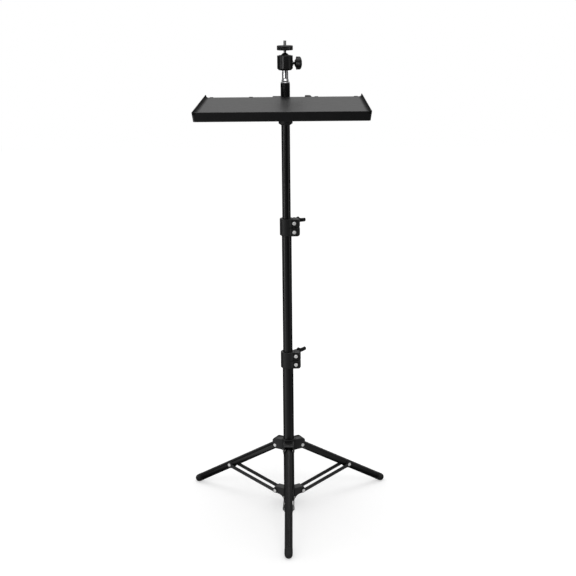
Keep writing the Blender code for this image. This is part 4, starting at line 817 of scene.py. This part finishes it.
def make_braces():
    spread = degrees(asin(BAR_HALF_H / BAR_END_R))
    outline = (arc((0, BRACE_LENGTH), BAR_END_R, spread - 90, 270 - spread, 20)
               + arc((0, 0), BAR_END_R, 90 + spread, 450 - spread, 20))
    bar = prism(outline, BAR_T, "Y", 0.0004, steps=2, name="brace_front_a")
    cut(bar, pin_hole(), pin_hole(0, BRACE_LENGTH))
    stub = lathe("brace_stub_front_a", rivet_head(BAR_T + GAP) + [(PIN_R, 0)], 48, edge=0.0001)
    brace = at(SPIDER_PIVOT_R, 0, SPIDER_PIVOT_Z) @ Matrix.Rotation(pi / 2 - BRACE_ANGLE, 4, "Y")
    for sign, hand in ((-1, "_a"), (1, "_b")):
        on_each_side(bar, "brace_{}" + hand, brace @ at(0, sign * (BAR_INNER + BAR_T / 2), 0), "brace_{}",
                     BAR, "brace_bar_{}" + hand)
        on_each_side(stub, "brace_stub_{}" + hand, brace @ at(0, sign * BAR_INNER, BRACE_LENGTH)
                     @ turned_by(-90 * sign, "X"), "brace_{}", STEEL, "brace_rivet_{}" + hand)


# Tray and bracket
def tray_loop(inset, height, corner):
    """Points round the tray's left, front and right sides, at an inset from its rim's outer face."""
    half, front = TRAY_WIDTH / 2 - inset, TRAY_FRONT_Y + inset
    line = [(-half, TRAY_BACK_Y)] + arc((corner - half, front + corner), corner, 180, 270, 8)
    line += arc((half - corner, front + corner), corner, 270, 360, 8) + [(half, TRAY_BACK_Y)]
    return [(x, y, height) for x, y in line]


def tray_sections():
    """The shell's section from the floor's top up the inner wall, over the rim, down the skirt and up
    inside it, as (inset, height, corner radius)."""
    rim, foot, under = 0.001, 0.0007, TRAY_WALL + TRAY_DRAW
    crest = TRAY_RIM_Z - rim
    inside = arc((TRAY_WALL + TRAY_FILLET, TRAY_FLOOR_Z + TRAY_FILLET), TRAY_FILLET, -90, -180, 8)
    over = arc((TRAY_WALL - rim, crest), rim, 0, 90, 4)
    outside = arc((rim, crest), rim, 90, 180, 4)
    outside += arc((TRAY_DRAW + foot, TRAY_SKIRT_Z + foot), foot, 180, 270, 4)
    return ([(*place, 0.0046) for place in inside] + [(*over[0], 0.005)]
            + [(*place, 0.0048) for place in over[1:]] + [(*place, 0.0045) for place in outside]
            + [(under - 0.0006, TRAY_SKIRT_Z, 0.003), (under, TRAY_SKIRT_Z + 0.0006, 0.0028),
               (under, TRAY_UNDER_Z, 0.0028)])


def tray_shell(work):
    rings = [[work.verts.new(point) for point in tray_loop(*section)] for section in tray_sections()]
    for one, two in zip(rings, rings[1:]):
        for k in range(len(one) - 1):
            work.faces.new((one[k], one[k + 1], two[k + 1], two[k]))
    work.faces.new(rings[0])
    work.faces.new(rings[-1])
    work.faces.new([ring[0] for ring in rings] + [ring[-1] for ring in reversed(rings)])


def tray_ribs():
    """The skirt's back wall, open round the bracket's socket, and the ribs under the floor."""
    under_x = TRAY_WIDTH / 2 - TRAY_WALL - TRAY_DRAW
    back, front = TRAY_BACK_Y - TRAY_WALL, TRAY_FRONT_Y + TRAY_WALL + TRAY_DRAW
    sunk, rib, bay, room = 0.0008, 0.002, 0.032, SOCKET_R + 0.004
    side, ceiling = under_x + sunk, TRAY_UNDER_Z + sunk
    made = []
    for start, end in ((-side, -room - TRAY_SHIFT_X), (room - TRAY_SHIFT_X, side)):
        made.append(block((start, back, TRAY_SKIRT_Z), (end, TRAY_BACK_Y - 0.00002, ceiling)))
    long_z, cross_z = TRAY_SKIRT_Z + 0.0006, TRAY_SKIRT_Z + 0.0008
    for sign in (-1, 1):
        for near in (bay, (bay + under_x) / 2):
            start, end = sorted((sign * near, sign * (near + rib)))
            made.append(block((start, front - sunk, long_z), (end, back + sunk, ceiling)))
        start, end = sorted((sign * (bay + rib / 2), sign * side))
        for row in range(1, 4):
            y = front + row * (back - front + rib) / 4 - rib
            made.append(block((start, y, cross_z), (end, y + rib, ceiling)))
    return made


def make_tray():
    tray = mesh_object("tray_shell", tray_shell)
    stops, holes = [], []
    for x in (-0.157, -0.071, 0.071, 0.157):
        stops.append(block((x - 0.004, TRAY_BACK_Y - 0.0026, TRAY_FLOOR_Z - 0.001),
                           (x + 0.004, TRAY_BACK_Y - 0.0004, TRAY_FLOOR_Z + 0.0009), 0.0005))
    for x in SCREW_XS:
        holes.append(moved(rod(SCREW_HOLE_R, SCREW_END_Z, SCREW_END_Z - PAST, 32), at(x, SCREW_Y, 0)))
    cut(fuse(tray, *tray_ribs(), *stops), *holes)
    settle(tray, at(TRAY_SHIFT_X), "tray", TRAY, "tray_pan", angle=32, planes=True)


def bracket_arm(front):
    root, wide = SOCKET_R - 0.001, 0.026
    arm = prism([
        (-wide, front, 0.01), (wide, front, 0.01), (wide, -0.045, 0.008), (root, -0.018, 0.004),
        (root, -0.006), (-root, -0.006), (-root, -0.018, 0.004), (-wide, -0.045, 0.008)],
        ARM_T, "Z", 0.0008)
    return moved(arm, at(TRAY_SHIFT_X, 0, ARM_TOP - ARM_T / 2))


def bracket_gussets(front):
    middle, under = ARM_TOP - ARM_T / 2, ARM_TOP - ARM_T
    end, lowest = front + 0.012, under - 0.026
    line = [(-0.006, middle), (end, middle), (end, under - 0.0035, 0.002), (-0.03, lowest + 0.008, 0.01),
            (-0.01, lowest, 0.004), (-0.006, lowest)]
    return [moved(prism(line, 0.004, "X", 0.0008), at(sign * (SOCKET_R - 0.004))) for sign in (-1, 1)]


def make_bracket():
    socket = lathe("bracket_casting", [
        (SOCKET_R, SOCKET_TOP, 0.001), (SOCKET_R, SOCKET_BOTTOM + 0.0022, 0.0012),
        (LINER_R + GAP + 0.001, SOCKET_BOTTOM, 0.0004)], 96)
    level, front = at(0, 0, TRAY_KNOB_Z) @ SIDEWAYS, -0.165
    side = lathe("boss", [
        (0.0108, 0), (0.0108, -0.028, 0.0014), (0.0046, -0.028, 0.0004), (0.004, -0.0274, 0.0002),
        (0.004, -0.022)], edge=0.0)
    knob_boss = rod(0.007, 0.024, 0, 60, 0.001)
    fuse(socket, bracket_arm(front), *bracket_gussets(front), moved(side, level), moved(knob_boss, level))
    cutters = [rod(LINER_R + GAP, SOCKET_TOP + WELL_PAST, SOCKET_BOTTOM - WELL_PAST, 96),
               moved(rod(KNOB_STUD_R + GAP, WELL_PAST, LINER_R), level)]
    for x in SCREW_XS:
        cutters.append(moved(rod(SCREW_HOLE_R, ARM_TOP + PAST, ARM_TOP - PAST, 32),
                             at(x + TRAY_SHIFT_X, SCREW_Y, 0)))
    cut(socket, *cutters)
    settle(socket, UPRIGHT, "tray", PLASTIC, "tray_bracket")
    knob = hand_knob("tray_screw_knob", radius=0.0122, thickness=0.0172, hub=0.0016,
                     stud_at=TOP_R + 3 * GAP, head_at=0.0428, lobes=7)
    settle(knob, level, "tray_knob", PLASTIC, "tray_lock_knob")


def make_tray_screws():
    stem_r, head_r, end, top = 0.0017, 0.0036, SCREW_END_Z - GAP, ARM_TOP - ARM_T - GAP
    low = top - 0.002
    screw = lathe("tray_fixing_1", [
        (stem_r, end, 0.0006), (stem_r, top), (head_r, top, 0.0002), (head_r, low + 0.0008, 0.0007),
        (0.0026, low + 0.0001, 0.001), (0, low)], 48)
    cut(screw, cross_recess(low, 0.0021, 0.0011))
    left, right = (at(x + TRAY_SHIFT_X, SCREW_Y, 0) for x in SCREW_XS)
    settle(screw, left, "tray", STEEL, "tray_screw_1")
    again(screw, "tray_fixing_2", right, "tray", "tray_screw_2")


# Post, spigot and ball head
def make_post():
    inner, foot, base = TOP_R - TUBE_WALL - GAP, TOP_TUBE_END - 0.018, POST_TOP + GAP
    post = lathe("post_turning", [
        (POST_R, POST_TOP, 0.0007), (POST_R, TOP_TUBE_END + GAP, 0.0004),
        (inner, TOP_TUBE_END + GAP), (inner, foot, 0.0008)], 96)
    cut(post, rod(DOWEL_HOLE_R, POST_TOP + PAST, POST_TOP - 0.01))
    settle(post, UPRIGHT, "top_stage", TUBE, "head_post")
    neck, flare, top, fine = 0.0067, 0.01, SPIGOT_TOP, 0.0003
    groove = neck - 0.0008
    spigot = lathe("spigot_turning", [
        (DOWEL_R, top + 0.009, 0.0005), (DOWEL_R, top), (neck, top, 0.0006),
        (neck, top - 0.002, fine), (groove, top - 0.0024, fine), (groove, top - 0.0034, fine),
        (neck, top - 0.0038, fine), (neck, base + 0.01, 0.006), (0.0083, base + 0.0054, fine),
        (0.0076, base + 0.0049, fine), (0.0078, base + 0.0037, fine), (0.009, base + 0.0032, fine),
        (flare, base + 0.0014, 0.0006), (flare - 0.0006, base, fine), (DOWEL_R, base),
        (DOWEL_R, base - 0.009, 0.0005)], 96, edge=0.0)
    bore_r, bore_end = BORE_HALF - 0.0001, 0.0036
    drilled = [moved(lathe("bore", [
        (bore_r, PAST), (bore_r, bore_end), (0, bore_end - 0.0008)], 36, edge=0.0),
        at(0, 0, FLARE_HOLE_Z) @ turned_by(90 * side, "X")) for side in (-1, 1)]
    cut(spigot, *drilled)
    settle(spigot, UPRIGHT, "top_stage", CHROME, "head_spigot")


def make_housing():
    seat_r, shelf = BALL_R + GAP, HOUSING_TOP - 0.0008
    mouth_angle = degrees(asin((HOUSING_TOP - 0.001 - BALL_Z) / seat_r))
    cup = [(0, BALL_Z - seat_r)] + arc((0, BALL_Z), seat_r, -90, mouth_angle, 20)[1:]
    outer = [(cup[-1][0] + 0.001, HOUSING_TOP, 0.0004), (HOUSING_R - 0.0036, HOUSING_TOP, 0.0003),
             (HOUSING_R - 0.003, shelf, 0.0003), (HOUSING_R, shelf, 0.0009),
             (HOUSING_R, HOUSING_BOTTOM + 0.0035, 0.0012), (HOUSING_R - 0.0035, HOUSING_BOTTOM, 0.0008),
             (DOWEL_HOLE_R, HOUSING_BOTTOM), (DOWEL_HOLE_R, HOUSING_BOTTOM + 0.0093)]
    housing = lathe("head_cup", cup + outer, 96, edge=0.0)
    level = at(0, 0, HOUSING_TOP - 0.0175) @ SIDEWAYS
    fuse(housing, moved(rod(0.0062, 0.018, 0.01, 60, 0.0008), level))
    cut(housing, moved(rod(KNOB_STUD_R + GAP, WELL_PAST, 0.0085), level))
    settle(housing, UPRIGHT, "ball_cup", ANODISED, "ball_housing")
    knob = hand_knob("cup_screw_knob", radius=0.0143, thickness=0.013, hub=0.0034, stud_at=0.009,
                     head_at=0.024, lobes=7)
    settle(knob, level, "ball_knob", PLASTIC, "ball_lock_knob")


def make_ball():
    pitch, depth = 0.00127, 0.00022
    neck_angle = degrees(acos(NECK_R / BALL_R))
    thread_low, thread_top = DISC_LOW + DISC_T - 0.0012, STUD_TOP - 0.0007

    def threaded(radius, angle, height):
        if radius < STUD_R - 0.0002 or not thread_low < height < thread_top:
            return radius
        phase = (height / pitch - angle / tau) % 1.0
        return radius - depth * (1 - min(1.0, 1.25 * abs(2 * phase - 1)))

    stem = [(STUD_R - 0.0006, STUD_TOP), (STUD_R, STUD_TOP - 0.0006),
            (STUD_R, DISC_LOW - 0.0022), (NECK_R, DISC_LOW - 0.0026)]
    sphere = arc((0, 0), BALL_R, neck_angle, -90, 24)[:-1] + [(0, -BALL_R)]
    ball = lathe("ball_turning", stem + sphere, 64, edge=0.0, shape=threaded,
                 extra=(thread_low, thread_top, pitch / 10))
    settle(ball, at(0, 0, BALL_Z), "ball", BALL, "ball_stem", angle=50)


def make_disc():
    ridges, half, knurl = 56, DISC_T / 2, 0.00055

    def knurled(radius, angle, height):
        if radius < DISC_R - 0.0001 or abs(height) > half - 0.0012:
            return radius
        across, along = ridges * angle / tau, height / (tau * DISC_R / ridges)
        one, two = (abs((turn % 1.0) * 2 - 1) for turn in (across + along, across - along))
        return radius - knurl * max(1 - one * 1.6, 1 - two * 1.6, 0)

    disc = lathe("disc_turning", [
        (0.006, half - 0.0003), (0.0068, half), (DISC_R - 0.001, half, 0.0003),
        (DISC_R, half - 0.001), (DISC_R, 0.001 - half), (DISC_R - 0.001, -half, 0.0003)],
        ridges * 8, edge=0.0, shape=knurled, extra=(0.001 - half, half - 0.001, 0.00045))
    cut(disc, rod(STUD_R + GAP, PAST, -PAST, 48))
    settle(disc, at(0, 0, BALL_Z + DISC_LOW + half), "disc", ANODISED, "locking_disc", angle=30)


make_tubes()
make_clamp("lower", LOWER_SLIT_Z, LOWER_COLLAR_R, COLUMN_R, MID_R, "stand_base", LOWER_WING_TURN)
make_clamp("upper", UPPER_SLIT_Z, UPPER_COLLAR_R, MID_R, TOP_R, "middle_stage", UPPER_WING_TURN)
make_crown()
make_spider()
make_legs()
make_braces()
make_tray()
make_bracket()
make_tray_screws()
make_post()
make_housing()
make_ball()
make_disc()

# Camera
SENSOR, LENS = 36.0, 70.0
CAMERA_AT = (0.0264, -2.4732, 1.2224)
PITCH, ROLL, YAW = radians(15.385), radians(0.56), radians(-0.571)

camera_data = bpy.data.cameras.new("photo_camera")
camera_data.lens = LENS
camera_data.sensor_width = SENSOR
camera = linked("photo_camera", camera_data)
camera.matrix_world = (ROOT @ Matrix.Translation(CAMERA_AT) @ Matrix.Rotation(-YAW, 4, "Z")
                       @ Matrix.Rotation(pi / 2 - PITCH, 4, "X") @ Matrix.Rotation(-ROLL, 4, "Z"))
SCENE.camera = camera
SCENE.view_settings.view_transform = "Standard"

# Floor, world and lamps
FLOOR_HALF, FLOOR_WHITE = 6.0, 0.75
LEFT_SIDE, RIGHT_SIDE = -64, 72
LEFT_GLOW, RIGHT_GLOW = 0.33, 0.12
FILL_NEAR, FILL_FAR = 0.445, 0.6
FRONT_NEAR, FRONT_FAR = 0.23, 0.05
FRONT_LEFT, FRONT_RIGHT = 2.2, 0.2
BACK_GLOW = 0.3
CEILING, ZENITH, BESIDE = 0.9, 0.1, 0.25
SOFT_LIGHT = 0.55
HORIZON = 0.03


def along(operation, *vectors):
    return node(vectors[0], "VectorMath", dict(enumerate(vectors)), operation=operation).outputs


def level_direction(vector, centre=(0, 0, 0)):
    """The direction from the centre, laid level, and its length."""
    away = along("SUBTRACT", vector, centre)[0]
    flat = along("MULTIPLY", away, (1, 1, 0))[0]
    return along("NORMALIZE", flat)[0], along("LENGTH", flat)["Value"]


def glow_at(level, azimuth, inner, outer, strength):
    """A soft patch round an azimuth; azimuth 0 is the camera's side and grows to the right."""
    turn = radians(azimuth)
    near = along("DOT_PRODUCT", level, (sin(turn), -cos(turn), 0))["Value"]
    return ranged(near, 0.0, strength, cos(radians(outer)), cos(radians(inner)), "SMOOTHSTEP")


def low_studio(level, front):
    """What shiny pieces see at and below the horizon: two soft sides, a dim front, a dark back."""
    ahead = calculated("MULTIPLY", glow_at(level, 0, 70, 115, 1.0), front)
    return calculated("ADD", glow_at(level, LEFT_SIDE, 6, 28, LEFT_GLOW),
                      glow_at(level, RIGHT_SIDE, 10, 30, RIGHT_GLOW), ahead, 0.02)


def glowing(strength):
    return node(strength, "Emission", {"Strength": strength}).outputs[0]


def make_floor():
    def build(work):
        bmesh.ops.create_grid(work, x_segments=1, y_segments=1, size=FLOOR_HALF)

    floor = mesh_object("floor", build)
    made = bpy.data.materials.new("white_floor")
    made.use_nodes = True
    tree = made.node_tree
    tree.nodes.clear()
    path = node(tree, "LightPath").outputs
    position = node(tree, "NewGeometry").outputs["Position"]
    level, length = level_direction(position, ROOT.translation)
    sideways = ranged(separated(position)["X"], FRONT_LEFT, FRONT_RIGHT, -0.7, 0.7)
    front = calculated("MULTIPLY", ranged(length, FRONT_NEAR, FRONT_FAR, 0.6, 3.6), sideways)
    fill = ranged(length, FILL_NEAR, FILL_FAR, 0.15, 1.1)
    white = node(tree, "BsdfDiffuse", {"Color": (*grey(FLOOR_WHITE), 1)}).outputs[0]
    seen = node(tree, "AddShader", {0: glowing(fill), 1: white}).outputs[0]
    mirrored = glowing(low_studio(level, front))
    other = chosen(path["Is Glossy Ray"], white, mirrored)
    node(tree, "OutputMaterial", {"Surface": chosen(path["Is Camera Ray"], other, seen)})
    floor.data.materials.append(made)


def background(tree, strength=1.0):
    return node(tree, "Background", {"Color": (1, 1, 1, 1), "Strength": strength}).outputs[0]


def make_world():
    world = bpy.data.worlds.new("studio")
    world.use_nodes = True
    SCENE.world = world
    tree = world.node_tree
    tree.nodes.clear()
    path = node(tree, "LightPath").outputs
    direction = node(tree, "TexCoord").outputs["Generated"]
    _, y, z = separated(direction)
    level, _ = level_direction(direction)
    low = low_studio(level, FRONT_FAR)
    behind = ranged(y, 0.02, BACK_GLOW, -0.2, 0.9, "SMOOTHSTEP")
    rise = ranged(z, 0.0, CEILING, 0.22, 0.5, "SMOOTHSTEP")
    overhead = ranged(z, 1.0, ZENITH, 0.8, 0.95, "SMOOTHSTEP")
    across = calculated("ABSOLUTE", separated(level)["X"])
    beside = ranged(across, 1.0, BESIDE, 0.45, 0.85, "SMOOTHSTEP")
    high = calculated("ADD", behind, calculated("MULTIPLY", rise, overhead, beside))
    up = ranged(z, 0.0, 1.0, -HORIZON, HORIZON, "SMOOTHSTEP")
    down = ranged(z, 1.0, 0.0, -HORIZON, HORIZON, "SMOOTHSTEP")
    strength = calculated("ADD", calculated("MULTIPLY", up, high), calculated("MULTIPLY", down, low))
    other = chosen(path["Is Glossy Ray"], background(tree, SOFT_LIGHT), background(tree, strength))
    node(tree, "OutputWorld", {"Surface": chosen(path["Is Camera Ray"], other, background(tree))})


def soft_box(name, azimuth, distance, height, width, tall, power, aim):
    """A rectangular lamp; azimuth 0 stands at the camera's side and grows to the right."""
    turn = radians(azimuth)
    place = ROOT.translation + Vector((sin(turn) * distance, -cos(turn) * distance, height))
    lamp = bpy.data.lights.new(name, "AREA")
    lamp.shape = "RECTANGLE"
    lamp.size, lamp.size_y = width, tall
    lamp.energy = power
    towards = ROOT.translation + Vector((0, 0, aim)) - place
    linked(name, lamp).matrix_world = at(*place) @ towards.to_track_quat("-Z", "Y").to_matrix().to_4x4()


make_floor()
make_world()
soft_box("left_box", LEFT_SIDE, distance=1.8, height=0.4, width=0.35, tall=0.95, power=2.5, aim=0.4)
soft_box("right_box", RIGHT_SIDE, distance=1.9, height=0.4, width=0.6, tall=0.95, power=1.2, aim=0.4)
soft_box("top_box", 180, distance=0.15, height=2.7, width=1.8, tall=1.2, power=12.0, aim=0.3)
soft_box("front_box", 8, distance=2.1, height=2.4, width=1.1, tall=0.6, power=10.0, aim=0.8)
soft_box("head_box", -30, distance=2.2, height=0.93, width=0.75, tall=0.4, power=2.4, aim=1.0)
